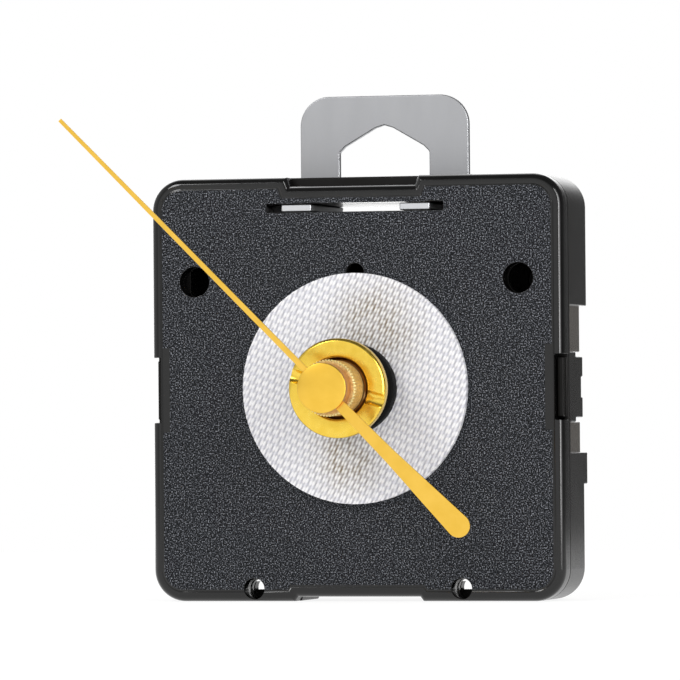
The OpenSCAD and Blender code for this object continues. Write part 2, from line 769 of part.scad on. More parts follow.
module hand_cap() {
    color([0.93, 0.75, 0.28]) difference() {
        rod(-cap_front, cap_h, cap_d);
        slab(hand_y, hand_t) {
            rotate(hand_angle) translate([0, -tail_hub_w / 2 - 0.3]) square([cap_d, tail_hub_w + 0.6]);
            rotate(hand_angle) translate([-cap_d, -tail_hub_w / 2 - 0.3]) square([cap_d, tail_hub_w + 0.6]);
            circle(d = hand_hub_d);
        }
        rod(-cap_front + 0.6, cap_h, second_shaft_d);
    }
}

module seconds_wheel() {
    shaft_front = -cap_front + 0.6;
    color([0.85, 0.68, 0.3]) {
        rod(shaft_front, bridge_y - 0.2 - shaft_front, second_shaft_d);
        rod(bridge_y - 0.2 - past, past + pivot_l, pivot_d);
        spoked_wheel(second_teeth, train_module, second_y, wheel_t, mid_angle, 2.4, 4);
        pinion(second_pinion_teeth, train_module, third_y - 0.3, second_y - third_y + 0.3, third_angle);
    }
}

module minute_pipe() {
    front = -cap_front + cap_h + 0.5;
    color([0.85, 0.68, 0.3]) difference() {
        union() {
            rod(front, motion_y - 0.2 - front, minute_pipe_d - 2 * shaft_gap);
            rod(front, centre_y + wheel_t + 0.3 - front, pipe_core_d);
            pinion(cannon_teeth, motion_module, motion_y - 0.2, motion_t + 0.5, motion_angle);
        }
        rod(front - past, centre_y + wheel_t - front + 2 * past, second_shaft_d + 2 * shaft_gap);
    }
}

module centre_wheel() {
    color([0.85, 0.68, 0.3]) difference() {
        spoked_wheel(centre_teeth, centre_module, centre_y, wheel_t, third_angle, 3.6, 4);
        rod(centre_y - past, wheel_t + 2 * past, pipe_core_d + 2 * shaft_gap);
    }
}

module minute_nut() {
    front = -cap_front + cap_h + 0.2;
    color([0.9, 0.68, 0.25]) difference() {
        union() {
            slab(front, knurl_t) polygon([for (i = [0:2 * knurl_ridges - 1])
                polar(minute_nut_d / 2 - knurl_deep * (i % 2), i * 180 / knurl_ridges)]);
            rod(front, minute_nut_l, minute_nut_d - minute_nut_step);
        }
        rod(front - past, minute_nut_l + 2 * past, minute_pipe_d - 2 * shaft_gap);
        rod(front + 2, minute_nut_l, hour_tube_d + minute_nut_step);
    }
}

module hour_wheel() {
    color([0.85, 0.68, 0.3]) difference() {
        union() {
            rod(-hour_tube_l, hour_tube_l + hour_y + hour_t, hour_tube_d);
            slab(hour_y, hour_t) rotate(motion_angle) gear_outline(hour_teeth, hour_module, wheel_form);
        }
        rod(-hour_tube_l - past, hour_tube_l + hour_y + hour_t + 2 * past, minute_pipe_d);
    }
}

module third_wheel() {
    color([0.85, 0.68, 0.3]) at(third_axis) {
        arbor(arbor_front + 0.1, bridge_y - arbor_front - 0.3);
        spoked_wheel(third_teeth, train_module, third_y, wheel_t,
            meshed(third_angle, second_pinion_teeth, third_angle, third_teeth), 2.4, 4);
        pinion(third_pinion_teeth, centre_module, centre_y - 0.3, wheel_t + 0.6,
            meshed(third_angle, centre_teeth, third_angle, third_pinion_teeth));
    }
}

module intermediate_wheel() {
    color([0.9, 0.88, 0.82]) at(mid_axis) {
        arbor(arbor_front + 0.1, bridge_y - arbor_front - 0.3);
        spoked_wheel(mid_teeth, rotor_module, mid_y, wheel_t, rotor_angle, 2.4, 4);
        pinion(mid_pinion_teeth, train_module, second_y - 0.3, wheel_t + 0.6,
            meshed(mid_angle, second_teeth, mid_angle, mid_pinion_teeth));
    }
}

module rotor_pinion() {
    color([0.9, 0.88, 0.82]) at(rotor_axis) {
        arbor(arbor_front + 0.1, bridge_y - arbor_front - 0.3);
        pinion(rotor_teeth, rotor_module, mid_y - 0.3, wheel_t + 0.6,
            meshed(rotor_angle, mid_teeth, rotor_angle, rotor_teeth));
    }
}

module rotor_magnet() {
    color([0.3, 0.3, 0.32]) at(rotor_axis) tube(magnet_y, magnet_l, magnet_d, arbor_d);
}

module motion_wheel() {
    color([0.92, 0.9, 0.85]) at(motion_axis) difference() {
        union() {
            slab(motion_y, motion_t) rotate(motion_turn) gear_outline(motion_teeth, motion_module, wheel_form);
            pinion(motion_pinion_teeth, hour_module, hour_y, motion_y - hour_y + 0.2,
                meshed(motion_angle, hour_teeth, motion_angle, motion_pinion_teeth));
        }
        rod(hour_y - past, motion_y + motion_t - hour_y + 2 * past, arbor_d + 2 * pivot_gap);
    }
}

module setting_knob() {
    knob_t = case_d + knob_out - rear_plate_y - 0.2;
    color([0.12, 0.12, 0.12]) at(knob_axis) {
        difference() {
            union() {
                pinion(knob_teeth, motion_module, motion_y - 0.1, motion_t + 0.2,
                    meshed(motion_turn, motion_teeth, knob_angle, knob_teeth));
                rod(panel_t + 0.3, rear_plate_y - panel_t, knob_arbor_d);
            }
            rod(panel_t, knob_stud_l + 0.3, arbor_d + 2 * pivot_gap);
        }
        difference() {
            rod(rear_plate_y + 0.2, knob_t, knob_d);
            for (k = [0:11]) rotate([0, k * 30, 0]) translate([knob_d / 2 + 0.25, 0, 0])
                rod(rear_plate_y + 0.2 - past, knob_t + 2 * past, 0.9);
        }
    }
}

module battery() {
    color([0.75, 0.6, 0.35]) translate([cell_x, cell_y, bay_z]) rotate([0, 90, 0]) {
        cylinder(d = cell_d, h = cell_l);
        cylinder(d = button_d, h = cell_l + button_l);
    }
}

front_cover();
rear_shell();
threaded_neck();
centre_nut();
dial_washer();
rubber_ring();
hanger();
train_bridge();
stator();
coil_core();
coil_bobbin();
coil_winding();
circuit_board();
quartz_crystal();
timing_chip();
positive_contact();
negative_contact();
second_hand();
hand_cap();
seconds_wheel();
minute_nut();
minute_pipe();
centre_wheel();
hour_wheel();
third_wheel();
intermediate_wheel();
rotor_pinion();
rotor_magnet();
motion_wheel();
setting_knob();
battery();
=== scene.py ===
import math
import bmesh
import bpy
import numpy as np
from mathutils import Matrix, Vector, noise


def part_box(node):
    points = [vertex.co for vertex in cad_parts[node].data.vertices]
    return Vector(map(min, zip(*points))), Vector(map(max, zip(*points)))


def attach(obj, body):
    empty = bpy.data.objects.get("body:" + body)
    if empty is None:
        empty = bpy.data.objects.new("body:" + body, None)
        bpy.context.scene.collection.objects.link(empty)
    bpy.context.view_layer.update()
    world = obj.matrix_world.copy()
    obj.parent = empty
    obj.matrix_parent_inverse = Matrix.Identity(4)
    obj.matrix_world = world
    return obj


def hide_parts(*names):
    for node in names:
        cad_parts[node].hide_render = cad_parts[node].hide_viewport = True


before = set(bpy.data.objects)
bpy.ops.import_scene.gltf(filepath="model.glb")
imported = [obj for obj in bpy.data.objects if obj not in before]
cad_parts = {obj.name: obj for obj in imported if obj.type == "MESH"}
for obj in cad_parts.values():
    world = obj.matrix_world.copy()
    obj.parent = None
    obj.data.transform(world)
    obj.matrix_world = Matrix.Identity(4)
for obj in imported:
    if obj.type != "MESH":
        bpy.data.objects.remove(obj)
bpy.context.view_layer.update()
mm = 0.001
print("stage: frame loaded")


# Camera: fitted to the photograph, in metres and radians, its lens and sensor in millimetres
cameraFit = {
    "place": (0.200106, -0.764432, -0.0049),
    "yaw": 0.2586,
    "pitch": 0.0143,
    "roll": -0.0078,
    "lens": 318.0,
    "sensor": 36.0,
    "clip": (0.05, 20),
}


def makeCamera(fit):
    yaw, pitch, roll = fit["yaw"], fit["pitch"], fit["roll"]
    flat = math.cos(pitch)
    forward = Vector((-math.sin(yaw) * flat, math.cos(yaw) * flat, math.sin(pitch)))
    right = Vector((math.cos(yaw), math.sin(yaw), 0))
    up = right.cross(forward)
    across = math.cos(roll) * right + math.sin(roll) * up
    above = -math.sin(roll) * right + math.cos(roll) * up
    turn = Matrix((across, above, -forward)).transposed().to_4x4()
    data = bpy.data.cameras.new("photoCamera")
    data.lens, data.sensor_width = fit["lens"], fit["sensor"]
    data.clip_start, data.clip_end = fit["clip"]
    cam = bpy.data.objects.new("photoCamera", data)
    bpy.context.scene.collection.objects.link(cam)
    cam.matrix_world = Matrix.Translation(fit["place"]) @ turn
    bpy.context.scene.camera = cam


makeCamera(cameraFit)
bpy.context.scene.view_settings.view_transform = "Standard"
print("stage: camera")


# Modelling helpers: sizes are in millimetres, places are (across, depth, height)
near = 0.01  # a point this close to a face or an edge lies on it
facing = 0.99  # a face looks along an axis where its normal has this share of it
mergeReach = 0.002  # points this close are one
nodeMerge = (0.001, 0.5)  # the same in a copied CAD node, and the degrees between its flats' faces
bevelSteps = 2


def clearSelection():
    if bpy.context.object and bpy.context.object.mode != "OBJECT":
        bpy.ops.object.mode_set(mode="OBJECT")
    bpy.ops.object.select_all(action="DESELECT")


def pick(piece):
    clearSelection()
    piece.select_set(True)
    bpy.context.view_layer.objects.active = piece


def applyPlace():
    bpy.ops.object.transform_apply(location=True, rotation=True, scale=True)


def takeNew(name):
    piece = bpy.context.object
    piece.name = piece.data.name = name
    applyPlace()
    return piece


def edit(piece, mode="EDGE"):
    pick(piece)
    bpy.ops.object.mode_set(mode="EDIT")
    bpy.ops.mesh.select_mode(type=mode)
    bpy.ops.mesh.select_all(action="DESELECT")


def editAll(piece):
    edit(piece, "VERT")
    bpy.ops.mesh.select_all(action="SELECT")


def leaveEdit():
    bpy.ops.object.mode_set(mode="OBJECT")


def extrude(move):
    bpy.ops.mesh.extrude_region_move(TRANSFORM_OT_translate={"value": move})


def chooseEdges(piece, test):
    mesh = bmesh.from_edit_mesh(piece.data)
    for edge in mesh.edges:
        if test(edge.verts[0].co / mm, edge.verts[1].co / mm):
            edge.select_set(True)
    bmesh.update_edit_mesh(piece.data)


def chooseFaces(piece, test):
    mesh = bmesh.from_edit_mesh(piece.data)
    mesh.normal_update()
    for face in mesh.faces:
        if test(face.calc_center_median() / mm, face.normal):
            face.select_set(True)
    bmesh.update_edit_mesh(piece.data)


def addBlock(name, low, high):
    clearSelection()
    low, high = Vector(low) * mm, Vector(high) * mm
    bpy.ops.mesh.primitive_cube_add(size=1, location=(low + high) / 2)
    bpy.context.object.scale = high - low
    return takeNew(name)


def addRod(name, centre, width, length, sides=64, turn=(math.pi / 2, 0, 0)):
    # Along the depth, unless it is turned another way
    clearSelection()
    bpy.ops.mesh.primitive_cylinder_add(vertices=sides, radius=width / 2 * mm, depth=length * mm,
                                        location=Vector(centre) * mm, rotation=turn)
    return takeNew(name)


def addProfile(name, points):
    # A primitive plane is merged to one point, which is extruded from place to place
    clearSelection()
    bpy.ops.mesh.primitive_plane_add(size=mm, location=Vector(points[0]) * mm)
    piece = takeNew(name)
    editAll(piece)
    bpy.ops.mesh.merge(type="CENTER")
    for a, b in zip(points, points[1:]):
        extrude((Vector(b) - Vector(a)) * mm)
    leaveEdit()
    return piece


def closeUp(piece):
    editAll(piece)
    bpy.ops.mesh.remove_doubles(threshold=mergeReach * mm)
    bpy.ops.mesh.normals_make_consistent(inside=False)
    leaveEdit()


def addPlate(name, outline, front, back):
    # An outline of (across, height) points, filled and extruded along the depth
    piece = addProfile(name, [(x, front, z) for x, z in outline])
    editAll(piece)
    bpy.ops.mesh.edge_face_add()
    extrude((0, (back - front) * mm, 0))
    leaveEdit()
    closeUp(piece)
    return piece


def addTurned(name, profile, steps):
    # A profile of (radius, depth) points, spun once round the depth axis
    piece = addProfile(name, [(r, y, 0) for r, y in profile])
    editAll(piece)
    bpy.ops.mesh.spin(steps=steps, angle=2 * math.pi, center=(0, 0, 0), axis=(0, 1, 0))
    leaveEdit()
    closeUp(piece)
    return piece


def edgePoints(radius, end, edge, way=1):
    # A turned edge's points, each given as (in from the side, in from the end)
    return [(radius - i, end + way * d) for i, d in edge]


def combine(piece, tool, how="DIFFERENCE"):
    pick(piece)
    step = piece.modifiers.new("combine", "BOOLEAN")
    step.operation, step.solver, step.object = how, "EXACT", tool
    bpy.ops.object.modifier_apply(modifier=step.name)
    bpy.data.objects.remove(tool, do_unlink=True)


def softenEdges(piece, width, angle=35):
    pick(piece)
    step = piece.modifiers.new("soften", "BEVEL")
    step.limit_method, step.angle_limit = "ANGLE", math.radians(angle)
    step.width, step.segments, step.use_clamp_overlap = width * mm, bevelSteps, False
    step.miter_outer = "MITER_ARC"
    bpy.ops.object.modifier_apply(modifier=step.name)


def smooth(piece, angle=35):
    # Large flats keep their own normal, so only the softened edges shade round
    pick(piece)
    bpy.ops.object.shade_smooth_by_angle(angle=math.radians(angle))
    step = piece.modifiers.new("flats", "WEIGHTED_NORMAL")
    step.keep_sharp = True
    bpy.ops.object.modifier_apply(modifier=step.name)


def drawIn(point, share):
    # Towards the depth axis
    point.x, point.z = point.x * share, point.z * share


def noiseShare(point):
    return 0.5 + 0.5 * noise.noise(point)


def depths(node):
    low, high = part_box(node)
    return low.y / mm, high.y / mm


def copyNode(node, name):
    # A CAD node's mesh is loose triangles, so the copy is merged and its flats are joined
    piece = bpy.data.objects.new(name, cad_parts[node].data.copy())
    piece.data.name = name
    bpy.context.scene.collection.objects.link(piece)
    piece.data.materials.clear()
    editAll(piece)
    reach, angle = nodeMerge
    bpy.ops.mesh.remove_doubles(threshold=reach * mm)
    bpy.ops.mesh.dissolve_limited(angle_limit=math.radians(angle))
    leaveEdit()
    return piece


def place(piece, body, slot, finish, *nodes):
    piece.data.materials.clear()
    piece.data.materials.append(finish)
    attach(piece, body)
    if nodes:
        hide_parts(*nodes)


# Node helpers for the finishes
noiseSpan = (0.3, 0.7)  # most of a noise lies in it


def newFinish(name):
    finish = bpy.data.materials.new(name)
    finish.use_nodes = True
    tree = finish.node_tree
    where = tree.nodes.new("ShaderNodeTexCoord")
    return finish, tree, tree.nodes["Principled BSDF"], where.outputs["Object"]


def feed(tree, value, socket):
    # A socket takes a node's output, a colour or a number
    if isinstance(value, bpy.types.NodeSocket):
        tree.links.new(value, socket)
    elif isinstance(value, tuple):
        socket.default_value = (*value, 1)
    else:
        socket.default_value = value


def addMath(tree, how, *values):
    node = tree.nodes.new("ShaderNodeMath")
    node.operation = how
    for socket, value in zip(node.inputs, values):
        feed(tree, value, socket)
    return node.outputs[0]


def addAxes(tree, where):
    node = tree.nodes.new("ShaderNodeSeparateXYZ")
    tree.links.new(where, node.inputs["Vector"])
    return node.outputs["X"], node.outputs["Y"], node.outputs["Z"]


def addField(tree, name):
    node = tree.nodes.new("ShaderNodeAttribute")
    node.attribute_name = name
    return node.outputs["Fac"]


def addNoise(tree, where, scale, detail, stretch=(1, 1, 1), rough=0.55):
    spread = tree.nodes.new("ShaderNodeMapping")
    spread.inputs["Scale"].default_value = stretch
    tree.links.new(where, spread.inputs["Vector"])
    node = tree.nodes.new("ShaderNodeTexNoise")
    node.inputs["Scale"].default_value = scale
    node.inputs["Detail"].default_value = detail
    node.inputs["Roughness"].default_value = rough
    tree.links.new(spread.outputs["Vector"], node.inputs["Vector"])
    return node.outputs["Fac"]


def addRamp(tree, value, stops):
    node = tree.nodes.new("ShaderNodeValToRGB")
    ramp = node.color_ramp
    while len(ramp.elements) < len(stops):
        ramp.elements.new(0.5)
    for element, (level, colour) in zip(ramp.elements, stops):
        element.position, element.color = level, (*colour, 1)
    tree.links.new(value, node.inputs["Fac"])
    return node.outputs["Color"]


def addBlend(tree, value, first, second, start=0.35, end=0.65):
    # One colour turns into another over the middle of a noise
    return addRamp(tree, value, [(start, first), (end, second)])


def addMix(tree, share, first, second):
    node = tree.nodes.new("ShaderNodeMix")
    node.data_type = "RGBA"
    for key, value in (("Factor", share), ("A", first), ("B", second)):
        feed(tree, value, node.inputs[key])
    return node.outputs["Result"]


def addRange(tree, value, low, high, inLow=noiseSpan[0], inHigh=noiseSpan[1]):
    # From one range to another, and no further
    node = tree.nodes.new("ShaderNodeMapRange")
    limits = {"From Min": inLow, "From Max": inHigh, "To Min": low, "To Max": high}
    for key, number in limits.items():
        node.inputs[key].default_value = number
    tree.links.new(value, node.inputs["Value"])
    return node.outputs["Result"]


def addSpan(tree, value, low, high):
    # One between two places in millimetres, and zero outside them
    return addMath(tree, "MULTIPLY", addMath(tree, "GREATER_THAN", value, low * mm),
                   addMath(tree, "LESS_THAN", value, high * mm))


def addBump(tree, height, strength, distance, under=None):
    node = tree.nodes.new("ShaderNodeBump")
    node.inputs["Distance"].default_value = distance * mm
    feed(tree, strength, node.inputs["Strength"])
    tree.links.new(height, node.inputs["Height"])
    if under:
        tree.links.new(under, node.inputs["Normal"])
    return node.outputs["Normal"]


# Cover plastic: a grained field inside a polished rim. The grain's colour is painted shade in its
# pits and painted glints on its crests
panelLook = {
    # The grain's colours: painted shade in its pits, a middle tone, and painted glints on its crests
    "pit": (0.001, 0.001, 0.0015),
    "middle": (0.0125, 0.0148, 0.0195),
    "crestGlint": (0.37, 0.385, 0.425),
    "levels": (0.43, 0.54, 0.68),  # of the grain's noise, at these three colours
    "grain": 5400,  # features of about 0.19 mm
    "grainRough": 0.75,
    "grainDepth": 0.12,
    "grainBump": 0.9,
    "speck": 2.3,  # times as fine as the grain
    "speckDepth": 0.4,  # of the grain's depth
    "speckBump": 0.5,
    "fieldRough": (0.15, 0.3),  # is added to the rim's
    "rim": ((0.003, 0.003, 0.003), (0.0045, 0.0045, 0.0045)),
    "rimWear": 140,
    "rimRough": (0.14, 0.2),
    "rimBump": 0.04,
    "rimEnd": 1.15,  # depth to which the clear gloss reaches
    "pad": (25.5, 5.6),  # the smooth pads beside the windows
    "coat": {"Coat Roughness": 0.09, "Coat IOR": 1.5},
    "coatWeight": 0.7,
    "specular": 0.15,
}


def panelFinish(look):
    finish, tree, shader, where = newFinish("grainedCoverPlastic")
    x, y, z = addAxes(tree, where)
    padEdge, padTop = look["pad"]
    across, height = addMath(tree, "ABSOLUTE", x), addMath(tree, "ABSOLUTE", z)
    onPad = addMath(tree, "MULTIPLY", addMath(tree, "GREATER_THAN", across, padEdge * mm),
                    addMath(tree, "LESS_THAN", height, padTop * mm))
    offPad = addMath(tree, "SUBTRACT", 1, onPad)
    grained = addMath(tree, "MULTIPLY", addField(tree, "grainShare"), offPad)
    coarse = addNoise(tree, where, look["grain"], detail=2, rough=look["grainRough"])
    speck = addNoise(tree, where, look["grain"] * look["speck"], detail=1, rough=0.5)
    worn = addNoise(tree, where, look["rimWear"], detail=4)
    # The grain's noise paints shade into its pits and glints onto its crests
    colours = (look["pit"], look["middle"], look["crestGlint"])
    grain = addRamp(tree, coarse, list(zip(look["levels"], colours)))
    rim = addBlend(tree, worn, *look["rim"], *noiseSpan)
    tree.links.new(addMix(tree, grained, rim, grain), shader.inputs["Base Color"])
    fieldRough = addMath(tree, "MULTIPLY", grained, addRange(tree, speck, *look["fieldRough"]))
    rough = addMath(tree, "ADD", fieldRough, addRange(tree, worn, *look["rimRough"]))
    tree.links.new(rough, shader.inputs["Roughness"])
    strength = addMath(tree, "MULTIPLY", grained, look["grainBump"])
    strength = addMath(tree, "ADD", strength, look["rimBump"])
    bump = addBump(tree, coarse, strength, look["grainDepth"])
    strength = addMath(tree, "MULTIPLY", grained, look["speckBump"])
    bump = addBump(tree, speck, strength, look["grainDepth"] * look["speckDepth"], bump)
    tree.links.new(bump, shader.inputs["Normal"])
    # Only the polished rim has the clear gloss
    onRim = addMath(tree, "LESS_THAN", y, look["rimEnd"] * mm)
    coat = addMath(tree, "MULTIPLY", onRim, addRange(tree, grained, look["coatWeight"], 0, 0, 1))
    tree.links.new(coat, shader.inputs["Coat Weight"])
    for key, number in look["coat"].items():
        shader.inputs[key].default_value = number
    shader.inputs["Specular IOR Level"].default_value = look["specular"]
    return finish


# Woven fibre: it reads the mesh's own weave, with its gaps painted as shade and its warp painted
# lighter than its weft where the light catches it, and two patches beside the gold nut are painted
# with the nut's warm bounce light and darker shaded gaps
washerLook = {
    # The gaps' colour is painted shade, and the warp's colour is painted lighter than the weft's
    # where its tops catch the light
    "pit": (0.36, 0.36, 0.41),
    "weft": (0.79, 0.79, 0.85),
    "warp": (0.97, 0.965, 0.98),
    "dusk": (0.78, 0.78, 0.81),
    # Two patches beside the gold nut: painted warm bounce light from the nut on the threads, and
    # painted darker shade in their gaps
    "bounceGap": (0.19, 0.14, 0.08),
    "bounceThread": (0.86, 0.835, 0.78),
    "bouncePatches": ((3.0, 8.0, 7.0), (-1.0, -9.0, 5.5)),  # middle and radius of the patches
    "bounceEdge": (0.35, 1.15),  # from full to none, in shares of that radius
    "bounceCover": (0.5, 0.13),  # how much of the threads is tinted, and how much wider the gaps show
    "gapEnd": (0.22, 0.64),  # lift at which a gap turns into thread
    "threadEnd": (0.2, 0.8),  # share of warp at which the weft's colour turns into the warp's
    "noises": {"fibres": (9000, 2), "uneven": (1500, 2), "soft": (500, 3)},  # scale and detail
    "frayed": (0, 0.4, 0.45, 0.7),  # least and most, and the noise's range
    "dusky": (0, 0.8, 0.5, 0.72),
    "blotchy": (0.62, 1, 0.4, 0.6),
    "rough": (0.55, 0.75),
    "bump": (0.35, 0.03),
    "sheen": 0.15,
}


def washerFinish(look):
    finish, tree, shader, where = newFinish("wovenFibre")
    fibres, uneven, soft = (addNoise(tree, where, *size) for size in look["noises"].values())
    # The patches are painted bounce light and shade from the gold nut, fading out from their middles
    bounced = 0
    for x, z, radius in look["bouncePatches"]:
        reach = tree.nodes.new("ShaderNodeVectorMath")
        reach.operation = "DISTANCE"
        reach.inputs[1].default_value = (x * mm, -mm, z * mm)
        tree.links.new(where, reach.inputs[0])
        full, none = (share * radius * mm for share in look["bounceEdge"])
        patch = addRange(tree, reach.outputs["Value"], 1, 0, full, none)
        bounced = addMath(tree, "MAXIMUM", bounced, patch)
    bounced = addMath(tree, "MULTIPLY", bounced, addRange(tree, soft, *look["blotchy"]))
    tinted, widened = (addMath(tree, "MULTIPLY", bounced, share) for share in look["bounceCover"])
    # The warp is painted lighter than the weft and the gaps darker: painted light and shade on the
    # weave
    warp = addField(tree, "warpShare")
    thread = addBlend(tree, warp, look["weft"], look["warp"], *look["threadEnd"])
    thread = addMix(tree, addRange(tree, uneven, *look["dusky"]), thread, look["dusk"])
    thread = addMix(tree, tinted, thread, look["bounceThread"])
    thread = addMix(tree, addRange(tree, fibres, *look["frayed"]), thread, look["weft"])
    gap = addMix(tree, bounced, look["pit"], look["bounceGap"])
    lift = addMath(tree, "SUBTRACT", addField(tree, "weaveLift"), widened)
    colour = addMix(tree, addRange(tree, lift, 0, 1, *look["gapEnd"]), gap, thread)
    tree.links.new(colour, shader.inputs["Base Color"])
    tree.links.new(addRange(tree, fibres, *look["rough"]), shader.inputs["Roughness"])
    tree.links.new(addBump(tree, fibres, *look["bump"]), shader.inputs["Normal"])
    shader.inputs["Sheen Weight"].default_value = look["sheen"]
    return finish


# Shell plastic: plain, apart from the thin walls beside the snap tabs, which catch more light
shellLook = {
    "dark": (0.009, 0.0085, 0.008),
    "light": (0.014, 0.0135, 0.013),
    "thin": (0.078, 0.070, 0.062),
    "thinAcross": (27.5, 27.8),  # where the thin walls lie, on either side
    "thinDeep": 4.6,
    "thinHeight": (1.05, 9.7),  # their middle, and half of their height
    "drift": 90,
    "grain": 2200,
    "rough": (0.18, 0.24),
    "bump": (0.12, 0.03),
    "specular": 0.11,
}


def shellFinish(look):
    finish, tree, shader, where = newFinish("shellPlastic")
    x, y, z = addAxes(tree, where)
    middle, half = look["thinHeight"]
    height = addMath(tree, "ABSOLUTE", addMath(tree, "SUBTRACT", z, middle * mm))
    across = addSpan(tree, addMath(tree, "ABSOLUTE", x), *look["thinAcross"])
    thin = addMath(tree, "MULTIPLY", across, addMath(tree, "LESS_THAN", height, half * mm))
    thin = addMath(tree, "MULTIPLY", thin, addMath(tree, "GREATER_THAN", y, look["thinDeep"] * mm))
    drift = addNoise(tree, where, look["drift"], detail=4)
    fine = addNoise(tree, where, look["grain"], detail=2)
    plastic = addBlend(tree, drift, look["dark"], look["light"])
    tree.links.new(addMix(tree, thin, plastic, look["thin"]), shader.inputs["Base Color"])
    tree.links.new(addRange(tree, drift, *look["rough"]), shader.inputs["Roughness"])
    tree.links.new(addBump(tree, fine, *look["bump"]), shader.inputs["Normal"])
    shader.inputs["Specular IOR Level"].default_value = look["specular"]
    return finish


def tintPart(tree, where, plain, colour, between=None, within=None):
    # An edge, bore or knurl of another colour, told apart by the piece's own depth or radius. On the
    # nut's bore this is painted shade, and on the knurl and on the hanger's arms in the slot a
    # painted highlight
    x, y, z = addAxes(tree, where)
    if between:
        share = addSpan(tree, y, *between)
    else:
        reach = addMath(tree, "ADD", *(addMath(tree, "POWER", axis, 2) for axis in (x, z)))
        share = addMath(tree, "LESS_THAN", reach, (within * mm) ** 2)
    return addMix(tree, share, plain, colour)


def plainFinish(name, dark, light, rough, scale, grain, metal=0.0, bump=0.1, depth=0.02,
                stretch=(1, 1, 1), specular=0.5, tint=None):
    # Colour and roughness drift with a coarse noise, and a fine one gives the surface its tooth
    finish, tree, shader, where = newFinish(name)
    drift = addNoise(tree, where, scale, detail=4, stretch=stretch)
    fine = addNoise(tree, where, grain, detail=2, stretch=stretch)
    colour = addBlend(tree, drift, dark, light)
    if tint:
        colour = tintPart(tree, where, colour, **tint)
    tree.links.new(colour, shader.inputs["Base Color"])
    tree.links.new(addRange(tree, drift, *rough), shader.inputs["Roughness"])
    tree.links.new(addBump(tree, fine, bump, depth), shader.inputs["Normal"])
    shader.inputs["Metallic"].default_value = metal
    shader.inputs["Specular IOR Level"].default_value = specular
    return finish


